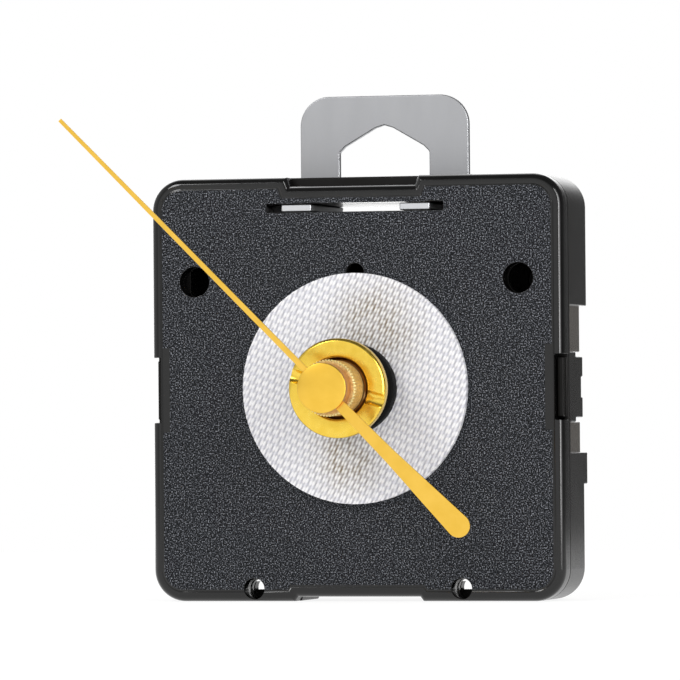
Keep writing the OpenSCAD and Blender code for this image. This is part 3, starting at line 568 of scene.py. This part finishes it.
capFront, nutFront = depths("hand_cap")[0], depths("minute_nut")[0]
finishLooks = {
    "goldPlate": {
        "dark": (0.90, 0.555, 0.078), "light": (0.95, 0.60, 0.098), "rough": (0.30, 0.38),
        "scale": 500, "grain": 6000, "metal": 1.0, "bump": 0.08, "depth": 0.01},
    "capGold": {
        "dark": (0.90, 0.555, 0.070), "light": (0.95, 0.60, 0.085), "rough": (0.30, 0.38),
        "scale": 500, "grain": 6000, "metal": 1.0, "bump": 0.08, "depth": 0.01,
        "tint": {"colour": (0.80, 0.40, 0.17), "between": (capFront + 0.15, 0)}},
    # Inside the nut's bore, within the tint's radius, the gold is painted dark brown: painted shade
    # in the bore
    "nutGold": {
        "dark": (0.885, 0.59, 0.072), "light": (0.955, 0.675, 0.106), "rough": (0.2, 0.3),
        "scale": 700, "grain": 5000, "metal": 1.0, "bump": 0.08, "depth": 0.01,
        "tint": {"colour": (0.22, 0.09, 0.03), "within": 4.1}},
    # The pale band over the knurl, between the tint's depths, is a painted highlight
    "speckledGold": {
        "dark": (0.62, 0.38, 0.12), "light": (0.92, 0.66, 0.28), "rough": (0.4, 0.55),
        "scale": 3000, "grain": 5000, "metal": 0.55, "bump": 0.08, "depth": 0.01,
        "tint": {"colour": (1.0, 0.84, 0.42), "between": (nutFront + 0.1, nutFront + 0.8)}},
    # The neck's brass is painted dark: painted shade, as it shows only in the gap under the nuts
    "shadedNeckBrass": {
        "dark": (0.20, 0.10, 0.035), "light": (0.34, 0.19, 0.07), "rough": (0.3, 0.42),
        "scale": 600, "grain": 4000, "metal": 1.0, "bump": 0.12, "depth": 0.01},
    "trainBrass": {
        "dark": (0.66, 0.46, 0.17), "light": (0.78, 0.57, 0.24), "rough": (0.25, 0.38),
        "scale": 500, "grain": 3500, "metal": 1.0, "bump": 0.15, "depth": 0.01},
    "rubberBlack": {
        "dark": (0.001, 0.001, 0.001), "light": (0.006, 0.006, 0.006), "rough": (0.6, 0.8),
        "scale": 3000, "grain": 3500, "bump": 0.9, "depth": 0.15, "specular": 0.12},
    # The arms seen through the slot, between the tint's depths, are painted lighter: a painted
    # highlight
    "hangerSteel": {
        "dark": (0.445, 0.45, 0.465), "light": (0.475, 0.48, 0.495), "rough": (0.4, 0.48),
        "scale": 300, "grain": 5000, "metal": 1.0, "bump": 0.12, "depth": 0.01,
        "stretch": (1, 1, 0.25), "tint": {"colour": (0.66, 0.67, 0.69), "between": (-1, 2)}},
    "innerPlastic": {
        "dark": (0.70, 0.69, 0.64), "light": (0.78, 0.77, 0.72), "rough": (0.4, 0.5),
        "scale": 200, "grain": 3000},
    "softIron": {
        "dark": (0.34, 0.34, 0.35), "light": (0.44, 0.44, 0.45), "rough": (0.35, 0.5),
        "scale": 400, "grain": 4000, "metal": 1.0, "bump": 0.15, "depth": 0.01},
    "copperWire": {
        "dark": (0.55, 0.20, 0.08), "light": (0.75, 0.33, 0.15), "rough": (0.25, 0.35),
        "scale": 900, "grain": 4000, "metal": 0.9, "bump": 0.5, "depth": 0.05,
        "stretch": (0.15, 0.15, 1.8)},
    "boardLacquer": {
        "dark": (0.015, 0.10, 0.045), "light": (0.03, 0.16, 0.07), "rough": (0.25, 0.35),
        "scale": 500, "grain": 2500, "bump": 0.15},
    "crystalCan": {
        "dark": (0.60, 0.60, 0.62), "light": (0.70, 0.70, 0.71), "rough": (0.2, 0.3),
        "scale": 500, "grain": 4000, "metal": 1.0, "depth": 0.01},
    "chipEpoxy": {
        "dark": (0.010, 0.010, 0.011), "light": (0.022, 0.022, 0.023), "rough": (0.3, 0.45),
        "scale": 500, "grain": 2500},
    "contactNickel": {
        "dark": (0.55, 0.53, 0.48), "light": (0.66, 0.64, 0.58), "rough": (0.2, 0.32),
        "scale": 300, "grain": 4000, "metal": 1.0, "bump": 0.12, "depth": 0.01,
        "stretch": (1, 0.3, 1)},
    "magnetGrey": {
        "dark": (0.06, 0.06, 0.065), "light": (0.10, 0.10, 0.105), "rough": (0.4, 0.55),
        "scale": 700, "grain": 3000, "metal": 0.3, "bump": 0.3},
}
coverBlack = panelFinish(panelLook)
shellBlack = shellFinish(shellLook)
wovenWhite = washerFinish(washerLook)
finishes = {name: plainFinish(name, **look) for name, look in finishLooks.items()}
print("stage: finishes")


# Front cover
coverSize = {
    "half": 28.0,
    "corner": (4.2, 14),  # radius and steps
    "rim": (1.2, 7),
    "panel": 1.6,
    "depth": 3.2,
    "groove": (0.16, 0.128),  # width and depth
    "slot": (12.0, 23.32, 24.48),  # half of its width, low and high edge
    "fixHole": (22.0, 14.3, 4.0),  # across, height and width, on either side
    "pegHole": (15.3, 2.4, 2),  # height, width and reach, in the middle
    "edgeHole": (14.1, -26.325, 2.75),  # as the fixHole
    "window": (26.7, 4.3),  # its inner edge, and half of its height
    "topNotch": (-9.0, 8.0, 1.25),  # left end, right end and depth
    "bottomNotch": (-8.3, 8.3, 0.6),
    "notchSlope": 0.5,
    "bore": (9.42, 3, 96),  # width, reach and sides
    "hollows": ((23.4, -8.8, 22.5), (26.6, -24.4, -9.6)),  # half width, low and high edge
    "softened": 0.1,
}


def notchOutline(size, key):
    left, right, deep = size[key]
    half, slope = size["half"], size["notchSlope"]
    floor, edge, past = half - deep, half + 0.1, half + 1
    return [(left, floor), (right, floor), (right + slope, edge), (right + slope, past),
            (left - slope, past), (left - slope, edge), (left, floor)]


def makeCover(size):
    half, depth, panel = size["half"], size["depth"], size["panel"]
    front, back = -1, depth + 1  # the cutters reach past both faces
    cover = addBlock("frontCover", (-half, 0, -half), (half, depth, half))
    edit(cover)
    chooseEdges(cover, lambda a, b: abs(a.y - b.y) > 1)
    radius, steps = size["corner"]
    bpy.ops.mesh.bevel(offset=radius * mm, segments=steps, affect="EDGES")
    leaveEdit()
    combine(cover, addPlate("cut", notchOutline(size, "topNotch"), front, back))
    low = [(x, -z) for x, z in notchOutline(size, "bottomNotch")]
    combine(cover, addPlate("cut", low, front, back))
    edit(cover)
    chooseEdges(cover, lambda a, b: a.y < near and b.y < near)
    radius, steps = size["rim"]
    bpy.ops.mesh.bevel(offset=radius * mm, segments=steps, affect="EDGES", clamp_overlap=False)
    leaveEdit()
    # A fine moulded groove parts the grained field from the polished rim
    edit(cover, "FACE")
    chooseFaces(cover, lambda c, n: n.y < -facing and c.y < near)
    wide, deep = size["groove"]
    for way in (-1, 1):
        bpy.ops.mesh.inset(thickness=wide * mm, depth=way * deep * mm)
    leaveEdit()

    def cutHole(across, height, width, reach=back, sides=64):
        middle = (across, (front + reach) / 2, height)
        combine(cover, addRod("cut", middle, width, reach - front, sides))

    side, low, high = size["slot"]
    combine(cover, addBlock("cut", (-side, front, low), (side, back, high)))
    for x in (-1, 1):
        for across, height, width in (size["fixHole"], size["edgeHole"]):
            cutHole(x * across, height, width)
        edge, tall = size["window"]
        left, right = sorted((x * edge, x * (half + 1)))
        combine(cover, addBlock("cut", (left, front, -tall), (right, back, tall)))
    cutHole(0, *size["pegHole"])
    for side, low, high in size["hollows"]:
        combine(cover, addBlock("cut", (-side, panel, low), (side, back, high)))
    cutHole(0, 0, *size["bore"])
    softenEdges(cover, size["softened"])
    smooth(cover)
    # The finish reads where the grained field is
    field = {i for f in cover.data.polygons for i in f.vertices
             if f.normal.y < -facing and abs(f.center.y) < near / 2 * mm}
    share = cover.data.attributes.new("grainShare", "FLOAT", "POINT")
    share.data.foreach_set("value", [float(i in field) for i in range(len(cover.data.vertices))])
    place(cover, "case", "cover_black", coverBlack, "front_cover")


makeCover(coverSize)
print("stage: front cover")


# Rear shell: the CAD's own form with moulded edges, and the webs behind the edge holes
shellSize = {
    "half": 28.0,
    "corner": 4.2,
    "front": 3.2,
    "parting": (0.3, 4),  # radius and steps
    "softened": 0.14,
    "webHole": (14.1, -26.325, 2.75),
    "webDepth": (5.4, 7.1),
    "webReach": 4.2,  # to either side of its hole
    "webHeight": (-27.7, -25.5),
    "ledgeFront": 5.9,
    "ledgeTop": -26.55,
    "cutsAcross": (-22.0, -14.1, 14.1, 22.0),  # through the holes
    "cutsUp": (-26.32, -17.0, 14.3, 23.9),
}


def makeShell(size):
    shell = copyNode("rear_shell", "rearShell")
    straight, corner = size["half"] - size["corner"], size["corner"]

    def onParting(p):
        reach = math.hypot(max(abs(p.x) - straight, 0), max(abs(p.z) - straight, 0))
        return abs(p.y - size["front"]) < near and abs(reach - corner) < 2 * near

    # The flats are parted through their holes, so that each face is a simple one
    edit(shell)
    for axis, key in (((1, 0, 0), "cutsAcross"), ((0, 0, 1), "cutsUp")):
        for reach in size[key]:
            bpy.ops.mesh.select_all(action="SELECT")
            bpy.ops.mesh.bisect(plane_co=[reach * mm * c for c in axis], plane_no=axis)
    leaveEdit()
    # The outer edge beside the cover is rounded, so that the parting line shows
    edit(shell)
    chooseEdges(shell, lambda a, b: onParting(a) and onParting(b))
    radius, steps = size["parting"]
    bpy.ops.mesh.bevel(offset=radius * mm, segments=steps, affect="EDGES", clamp_overlap=False)
    leaveEdit()
    softenEdges(shell, size["softened"])
    # A pierced web closes each pocket behind an edge hole, and a ledge its lower part.
    # Softened, their holes would grow spikes, and joined first, the left web would undo the right one
    across, height, width = size["webHole"]
    front, back = size["webDepth"]
    reach, (low, high) = size["webReach"], size["webHeight"]
    for x in (across, -across):
        web = addBlock("web", (x - reach, front, low), (x + reach, back, high))
        combine(web, addRod("cut", (x, (front + back) / 2, height), width, 2 * (back - front)))
        ledge = addBlock("ledge", (x - reach, size["ledgeFront"], low),
                         (x + reach, back, size["ledgeTop"]))
        combine(web, ledge, "UNION")
        combine(shell, web, "UNION")
    smooth(shell)
    place(shell, "case", "shell_black", shellBlack, "rear_shell")


makeShell(shellSize)
print("stage: rear shell")


# Hanger
hangerSize = {"softened": 0.2}


def makeHanger(size):
    plate = copyNode("hanger", "hangerPlate")
    softenEdges(plate, size["softened"])
    smooth(plate)
    place(plate, "case", "hanger_steel", finishes["hangerSteel"], "hanger")


makeHanger(hangerSize)
print("stage: hanger")


# Woven dial washer
washerSize = {
    "outer": 15.22,
    "inner": 4.15,
    "front": depths("dial_washer")[0],
    "thick": 0.9,
    "step": 0.115,  # of the mesh
    "cutReach": (0.6, 0.2),  # shares of a step at the bore, and of that at the outer edge
    "fray": (0.004, 4000),  # how far in the outer edge frays, as a share, and how finely
    "pitch": (0.866, 0.548),  # between the warp threads and between the weft threads
    "turns": (-3.0, 12.0),  # the two sets of threads don't cross squarely
    "wander": (0.2, 0.45),  # how far the threads stray, in pitches, and how often
    "round": (0.6, 0.7),  # a thread's section, and its way over and under the others
    "weftLift": 0.72,
    "crossing": 2.5,  # how sharply the warp and the weft change over
    "lift": 0.18,
    "gapDepth": 0.6,  # how deep the gaps between the threads show
    "twist": (0.5, 3),  # how deep the strands of a thread show, and how many it has
}


def weaveLift(x, z, size):
    # Threads of a plain weave: each passes over and under the next, and the warp floats longer
    a, b = (math.radians(turn) for turn in size["turns"])
    stray, often = size["wander"]
    section, way = size["round"]
    wander = [stray * noise.noise(Vector((p * often, q * often, 0))) for p, q in zip(x, z)]
    u = (x * math.cos(a) + z * math.sin(a)) / size["pitch"][0] + np.array(wander)
    v = (-x * math.sin(b) + z * math.cos(b)) / size["pitch"][1] + np.array(wander)
    waveU, waveV = np.cos(np.pi * u), np.cos(np.pi * v)
    over, under = (np.sign(np.cos(np.pi * np.round(count))) for count in (u, v))
    warp = np.abs(waveU) ** section * np.clip(0.5 + 0.5 * waveV * over, 0, 1) ** way
    weft = np.abs(waveV) ** section * (0.5 - 0.5 * waveU * under) * size["weftLift"]
    twist, count = size["twist"]
    strands = 0.5 + 0.5 * np.cos(np.pi * (count * u - v))
    lift = (1 - size["gapDepth"] * (1 - np.maximum(warp, weft))) * (1 - twist * strands)
    return lift, np.clip(0.5 + size["crossing"] * (warp - weft), 0, 1)


def makeWasher(size):
    clearSelection()
    width = 2 * size["outer"]
    count = int(width / size["step"])
    bpy.ops.mesh.primitive_grid_add(x_subdivisions=count, y_subdivisions=count, size=width * mm,
                                    location=(0, size["front"] * mm, 0), rotation=(math.pi / 2, 0, 0))
    piece = takeNew("wovenWasher")
    # The square grid is cut round, and its edges are drawn onto the two circles
    mesh = bmesh.new()
    mesh.from_mesh(piece.data)
    atBore, atEdge = size["cutReach"]
    outer, inner, reach = size["outer"] * mm, size["inner"] * mm, size["step"] * mm * atBore
    low, high = inner - reach, outer + reach * atEdge
    gone = [v for v in mesh.verts if not low < math.hypot(v.co.x, v.co.z) < high]
    bmesh.ops.delete(mesh, geom=gone, context="VERTS")
    bmesh.ops.delete(mesh, geom=[v for v in mesh.verts if not v.link_faces], context="VERTS")
    deep, fine = size["fray"]
    for v in mesh.verts:
        if v.is_boundary:
            r = math.hypot(v.co.x, v.co.z)
            frayed = outer * (1 - deep * noiseShare(Vector((v.co.x, v.co.z, 0)) * fine))
            goal = frayed if r > 2 * inner else inner
            v.co.x, v.co.z = v.co.x * goal / r, v.co.z * goal / r
    mesh.to_mesh(piece.data)
    mesh.free()
    # The weave lifts the points and is kept for the finish
    points = np.empty(len(piece.data.vertices) * 3)
    piece.data.vertices.foreach_get("co", points)
    points = points.reshape(-1, 3)
    lift, share = weaveLift(points[:, 0] / mm, points[:, 2] / mm, size)
    points[:, 1] = (size["front"] + size["lift"] * (1 - lift)) * mm
    piece.data.vertices.foreach_set("co", points.ravel())
    for name, values in (("weaveLift", lift), ("warpShare", share)):
        layer = piece.data.attributes.new(name, "FLOAT", "POINT")
        layer.data.foreach_set("value", values.astype(np.float32))
    # The cut edge is turned back to the panel and the back is closed
    edit(piece)
    bpy.ops.mesh.select_non_manifold(extend=False, use_wire=False, use_boundary=True,
                                     use_multi_face=False, use_non_contiguous=False, use_verts=False)
    extrude((0, size["thick"] * mm, 0))
    bpy.ops.transform.resize(value=(1, 0, 1), center_override=(0, 0, 0))
    bpy.ops.mesh.bridge_edge_loops()
    leaveEdit()
    closeUp(piece)
    smooth(piece, angle=60)
    place(piece, "case", "woven_white", wovenWhite, "dial_washer")


makeWasher(washerSize)
print("stage: washer")


# Rubber ring, neck and centre nut: an edge's points are (in from the side, in from the end)
neckSize = {
    "ring": (12.0, 8.2, *depths("rubber_ring")),
    "ringEdge": ((0.35, 0), (0.1, 0.12), (0, 0.4)),
    "tear": (0.5, 0.03, 2600),  # how far in the ring's side is torn, how much, and how finely
    "neck": 8.0,
    "bore": 5.1,
    "boreEdge": 0.2,
    "front": depths("threaded_neck")[0],
    "flange": (9.4, 1.6),
    "threadPitch": 0.75,
    "threadDepth": 0.35,
    "threadSpan": (0.1, -1),  # how far behind the front it starts, and the depth before which it ends
    "threadForm": (0.38, 0.55, 0.93),  # shares of a pitch at which it rises, falls and ends
    "nut": (13.0, *depths("centre_nut")),
    "nutEdge": ((0.38, 0), (0.3, 0.03), (0.05, 0.25), (0, 0.35)),
    "nutBack": ((0, 0.15), (0.15, 0)),
    "nutSlot": (1.9, 0.6, 16.0),  # width, depth and turn
    "nutBore": 8.3,
    "nutThread": 8.04,
    "nutLip": 0.55,
    "nutLipEdge": 0.12,
    "nutSoftened": 0.05,
}


def makeRing(size):
    outer, bore, front, back = size["ring"]
    r, b, edge = outer / 2, bore / 2, size["ringEdge"]
    profile = [(b, front), *edgePoints(r, front, edge), (r, (front + back) / 2),
               *edgePoints(r, back, edge[::-1], -1), (b, back), (b, front)]
    ring = addTurned("rubberRing", profile, steps=160)
    reach, deep, fine = size["tear"]
    for v in ring.data.vertices:
        if math.hypot(v.co.x, v.co.z) > (r - reach) * mm:
            drawIn(v.co, 1 - deep * noiseShare(v.co * fine))
    smooth(ring, angle=60)
    place(ring, "case", "rubber_black", finishes["rubberBlack"], "rubber_ring")


def makeNeck(size):
    r, b, front, pitch = size["neck"] / 2, size["bore"] / 2, size["front"], size["threadPitch"]
    root, edge, (start, end) = r - size["threadDepth"], size["boreEdge"], size["threadSpan"]
    rise, fall, foot = (share * pitch for share in size["threadForm"])
    flange, back = size["flange"][0] / 2, size["flange"][1]
    profile = [(b, front + edge), (b + edge, front), (root, front)]
    y = front + start
    while y + pitch < end:
        profile += [(root, y), (r, y + rise), (r, y + fall), (root, y + foot)]
        y += pitch
    profile += [(root, 0), (flange, 0), (flange, back), (b, back), (b, front + edge)]
    neck = addTurned("threadedNeck", profile, steps=96)
    smooth(neck, angle=30)
    # Its finish is painted shade, much darker than the brass
    place(neck, "case", "brass", finishes["shadedNeckBrass"], "threaded_neck")


def makeNut(size):
    outer, front, back = size["nut"]
    r, b, thread = outer / 2, size["nutBore"] / 2, size["nutThread"] / 2
    lip, edge = front + size["nutLip"], size["nutLipEdge"]
    profile = [(b, lip), (b, front + edge), (b + edge, front),
               *edgePoints(r, front, size["nutEdge"]), *edgePoints(r, back, size["nutBack"], -1),
               (thread, back), (thread, lip), (b, lip)]
    nut = addTurned("centreNut", profile, steps=128)
    # A rounded slot for the driver, right across the nut
    wide, deep, turn = size["nutSlot"]
    combine(nut, addRod("cut", (0, front + deep - wide / 2, 0), wide, 2 * outer, 48,
                        (0, math.radians(90 + turn), 0)))
    softenEdges(nut, size["nutSoftened"])
    smooth(nut, angle=30)
    place(nut, "case", "brass", finishes["nutGold"], "centre_nut")


makeRing(neckSize)
makeNeck(neckSize)
makeNut(neckSize)
print("stage: neck")


# Second hand, its cap and the minute nut
handSize = {
    "cap": (6.5, *depths("hand_cap")),
    "capEdge": ((0.12, 0), (0.04, 0.04), (0, 0.12)),
    "capBack": ((0, 0.2), (0.12, 0), (2.25, 0)),
    "blade": depths("second_hand"),
    "bladeSoftened": 0.05,
    "length": 49.9,
    "tail": 26.7,
    "angle": 135.0,
    "hub": 0.8,
    "tip": 0.5,
    "tailHub": 1.25,
    "tailMiddle": 1.8,
    "tailEnd": 3.05,
    "tailSteps": 24,
    "hubDisc": 4.0,
    "nut": (7.4, *depths("minute_nut")),
    "nutBore": 1.5,
    "nutMouth": ((1.5, 1.2), (2.1, 0.25), (2.4, 0)),  # radius, and depth behind the front
    "nutEdge": ((0.25, 0), (0, 0.2), (0, 0.75), (0.1, 0.95)),
    "nutHollow": (2.7, 3),  # radius and depth
    "ridges": 56,
    "ridgeDepth": 0.2,
}


def makeCap(size):
    width, front, back = size["cap"]
    r = width / 2
    profile = [(0, front), *edgePoints(r, front, size["capEdge"]),
               *edgePoints(r, back, size["capBack"], -1), (0, back)]
    cap = addTurned("handCap", profile, steps=128)
    smooth(cap, angle=40)
    place(cap, "seconds", "hand_gold", finishes["capGold"], "hand_cap")


def makeBlade(size):
    a, (front, back) = math.radians(size["angle"]), size["blade"]
    r = size["tailEnd"] / 2
    end = -size["tail"] + r
    # One side from the tail's end to the tip, the other side back, and the round end
    side = [(end, r), (end / 2, size["tailMiddle"] / 2), (0, size["tailHub"] / 2),
            (0, size["hub"] / 2), (size["length"], size["tip"] / 2)]
    flat = [(x, -z) for x, z in side] + side[::-1]
    count = size["tailSteps"]
    arc = [math.radians(90 + 180 * i / count) for i in range(1, count + 1)]
    flat += [(end + r * math.cos(t), r * math.sin(t)) for t in arc]
    turned = [(x * math.cos(a) - z * math.sin(a), x * math.sin(a) + z * math.cos(a))
              for x, z in flat]
    blade = addPlate("secondHand", turned, front, back)
    disc = addRod("join", (0, (front + back) / 2, 0), size["hubDisc"], back - front)
    combine(blade, disc, "UNION")
    softenEdges(blade, size["bladeSoftened"], angle=50)
    smooth(blade, angle=30)
    place(blade, "seconds", "hand_gold", finishes["goldPlate"], "second_hand")


def makeMinuteNut(size):
    width, front, back = size["nut"]
    r, bore, count = width / 2, size["nutBore"], size["ridges"] * 4
    mouth = [(reach, front + d) for reach, d in size["nutMouth"]]
    edge = edgePoints(r, front, size["nutEdge"])
    hollow, deep = size["nutHollow"]
    profile = [*mouth, *edge, (edge[-1][0], back), (hollow, back), (hollow, back - deep),
               (bore, back - deep), mouth[0]]
    nut = addTurned("minuteNut", profile, steps=count)
    # The knurl: a pair of every four rows of points is drawn in
    for v in nut.data.vertices:
        row = round(math.atan2(v.co.z, v.co.x) / (2 * math.pi) * count) % 4
        if math.hypot(v.co.x, v.co.z) / mm > r - near and row in (0, 1):
            drawIn(v.co, 1 - size["ridgeDepth"] / r)
    smooth(nut, angle=30)
    place(nut, "minutes", "hand_gold", finishes["speckledGold"], "minute_nut")


makeCap(handSize)
makeBlade(handSize)
makeMinuteNut(handSize)
print("stage: hands")


# Setting knob and cell: the cell's edges are given as the nut's are
cellSize = {
    "width": 14.2,
    "axis": (-17.0, 8.99),  # height and depth
    "button": (5.4, 1.1),  # width and length
    "flatEnd": ((2, 0.25), (1.2, 0.1), (1.0, 0), (0.25, 0), (0, 0.3), (0, 1.0)),
    "middle": 25,  # of the jacket, from the flat end
    "shoulder": ((0, 0.8), (0.3, 0.1), (0.9, 0), (1.2, 0.25)),
    "buttonFoot": ((-0.6, 0.25), (0, -0.1)),
    "buttonEdge": ((0, 0.3), (0.3, 0)),
    "jacket": ((0.03, 0.033, 0.04), (0.045, 0.05, 0.06)),
    "band": (0.72, 0.52, 0.26),
    "bandFrom": (12.0, 12.2),
    "drift": 300,
    "rough": (0.22, 0.3),
    "metal": 0.6,
}


def makeKnob():
    knob = copyNode("setting_knob", "settingKnob")
    smooth(knob, angle=30)
    place(knob, "knob", "shell_black", shellBlack, "setting_knob")


def cellFinish(size):
    # A dark jacket with a copper band at the button's end
    finish, tree, shader, where = newFinish("cellJacket")
    x = addAxes(tree, where)[0]
    drift = addNoise(tree, where, size["drift"], detail=3)
    band = addRange(tree, x, 0, 1, *(reach * mm for reach in size["bandFrom"]))
    body = addBlend(tree, drift, *size["jacket"], *noiseSpan)
    tree.links.new(addMix(tree, band, body, size["band"]), shader.inputs["Base Color"])
    tree.links.new(addRange(tree, drift, *size["rough"]), shader.inputs["Roughness"])
    shader.inputs["Metallic"].default_value = size["metal"]
    return finish


def makeCell(size):
    low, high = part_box("battery")
    left = low.x / mm
    button, proud = size["button"]
    end = high.x / mm - left
    long = high.x / mm - proud - left
    r, b, flatEnd = size["width"] / 2, button / 2, size["flatEnd"]
    profile = [(0, flatEnd[0][1]), *edgePoints(r, 0, flatEnd), (r, size["middle"]),
               *edgePoints(r, long, size["shoulder"], -1),
               *edgePoints(b, long, size["buttonFoot"], -1),
               *edgePoints(b, end, size["buttonEdge"], -1), (0, end)]
    cell = addTurned("batteryCell", profile, steps=96)
    # It is turned along the case and laid in its bay
    pick(cell)
    height, depth = size["axis"]
    cell.rotation_euler = (0, 0, -math.pi / 2)
    cell.location = (left * mm, depth * mm, height * mm)
    applyPlace()
    smooth(cell, angle=40)
    place(cell, "cell", "cell_jacket", cellFinish(size), "battery")


makeKnob()
makeCell(cellSize)
print("stage: rear")


# CAD nodes that stay get their finishes in their own slots
nodeFinish = {
    "innerPlastic": ("train_bridge", "coil_bobbin", "intermediate_wheel", "rotor_pinion",
                     "motion_wheel"),
    "softIron": ("stator", "coil_core"),
    "copperWire": ("coil_winding",),
    "boardLacquer": ("circuit_board",),
    "crystalCan": ("quartz_crystal",),
    "chipEpoxy": ("timing_chip",),
    "contactNickel": ("positive_contact", "negative_contact"),
    "trainBrass": ("seconds_wheel", "minute_pipe", "centre_wheel", "hour_wheel", "third_wheel"),
    "magnetGrey": ("rotor_magnet",),
}
for finishName, nodeNames in nodeFinish.items():
    for nodeName in nodeNames:
        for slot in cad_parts[nodeName].material_slots:
            slot.material = finishes[finishName]
print("stage: inner nodes")


# Floor, lights and world
studio = {
    "floor": -28.0,
    "floorPlace": (0, -0.15),
    "floorSize": 0.9,
    "floorColour": (0.9, 0.9, 0.9),
    "floorRough": 0.9,
    "floorWhite": (0.8, 1.08),  # share of the floor's own brightness, and that brightness
    "ambient": 0.76,
    "mirrored": {  # level that gloss sees in a direction, and the directions over which it comes
        "backdrop": (2.2, -0.05, 0.12),
        "besideBackdrop": 0.1,
        "behind": (0.3, 0.7),
        "ahead": (0.95, -0.85, -0.55),
        "left": (0.7, -0.9, -0.5),
        "right": (4.0, 0.74, 0.82),
        "rightAhead": (-0.36, -0.2),
        "sides": 0.12,
    },
    "lamps": {  # direction, distance, width and height in metres, power
        "strip": ((0.835, -0.55, 0.12), 0.9, 0.1, 1.1, 4.0),
        "key": ((-0.45, -0.6, 0.66), 1.2, 0.35, 0.35, 4.0),
    },
}


def makeFloor(look):
    clearSelection()
    bpy.ops.mesh.primitive_plane_add(size=look["floorSize"],
                                     location=(*look["floorPlace"], look["floor"] * mm))
    floor = takeNew("studioFloor")
    finish, tree, shader = newFinish("paleFloor")[:3]
    shader.inputs["Base Color"].default_value = (*look["floorColour"], 1)
    shader.inputs["Roughness"].default_value = look["floorRough"]
    share, white = look["floorWhite"]
    light = tree.nodes.new("ShaderNodeEmission")
    light.inputs["Strength"].default_value = white
    path = tree.nodes.new("ShaderNodeLightPath").outputs
    mix = tree.nodes.new("ShaderNodeMixShader")
    seen = addMath(tree, "MAXIMUM", path["Is Camera Ray"], path["Is Glossy Ray"])
    seen = addMath(tree, "MAXIMUM", seen, path["Is Transmission Ray"])
    tree.links.new(addMath(tree, "MULTIPLY", seen, share), mix.inputs["Fac"])
    tree.links.new(shader.outputs["BSDF"], mix.inputs[1])
    tree.links.new(light.outputs["Emission"], mix.inputs[2])
    tree.links.new(mix.outputs["Shader"], tree.nodes["Material Output"].inputs["Surface"])
    floor.data.materials.append(finish)


def makeLamps(look):
    for name, (aim, far, wide, tall, power) in look["lamps"].items():
        data = bpy.data.lights.new(name + "Lamp", "AREA")
        data.shape, data.size, data.size_y, data.energy = "RECTANGLE", wide, tall, power
        lamp = bpy.data.objects.new(name + "Lamp", data)
        bpy.context.scene.collection.objects.link(lamp)
        lamp.location = Vector(aim).normalized() * far
        lamp.rotation_euler = (-Vector(aim)).to_track_quat("-Z", "Y").to_euler()


def makeWorld(look):
    world = bpy.data.worlds.new("studioWorld")
    bpy.context.scene.world = world
    world.use_nodes = True
    tree = world.node_tree
    ground = tree.nodes["Background"]
    path = tree.nodes.new("ShaderNodeLightPath").outputs
    where = tree.nodes.new("ShaderNodeTexCoord")
    x, y = addAxes(tree, where.outputs["Generated"])[:2]
    room = look["mirrored"]
    sides = room["sides"]

    def addWall(axis, key, far=0, less=0):
        # A wall's level fades along an axis to a far level
        level, start, end = room[key]
        return addRange(tree, axis, level - less, far, start, end)

    # Each wall is counted from the sides' level. The backdrop is dark to the right of the object
    backdrop = addMath(tree, "SUBTRACT", addWall(x, "backdrop", room["besideBackdrop"]), sides)
    backdrop = addMath(tree, "MULTIPLY", addRange(tree, y, 0, 1, *room["behind"]), backdrop)
    ahead, left = addWall(y, "ahead", less=sides), addWall(x, "left", less=sides)
    level, start, end = room["right"]
    right = addMath(tree, "MULTIPLY", addRange(tree, x, 0, level, start, end),
                    addRange(tree, y, 1, 0, *room["rightAhead"]))
    level = addMath(tree, "MAXIMUM", addMath(tree, "ADD", backdrop, ahead),
                    addMath(tree, "ADD", left, right))
    level = addMath(tree, "ADD", level, sides - look["ambient"])
    # Gloss and glass see the room, the camera sees white, and all else the plain ambient light
    gloss = addMath(tree, "MAXIMUM", path["Is Glossy Ray"], path["Is Transmission Ray"])
    strength = addMath(tree, "ADD", addMath(tree, "MULTIPLY", gloss, level), look["ambient"])
    strength = addMath(tree, "MAXIMUM", strength, path["Is Camera Ray"])
    ground.inputs["Color"].default_value = (1, 1, 1, 1)
    tree.links.new(strength, ground.inputs["Strength"])


makeFloor(studio)
makeLamps(studio)
makeWorld(studio)
print("stage: studio")
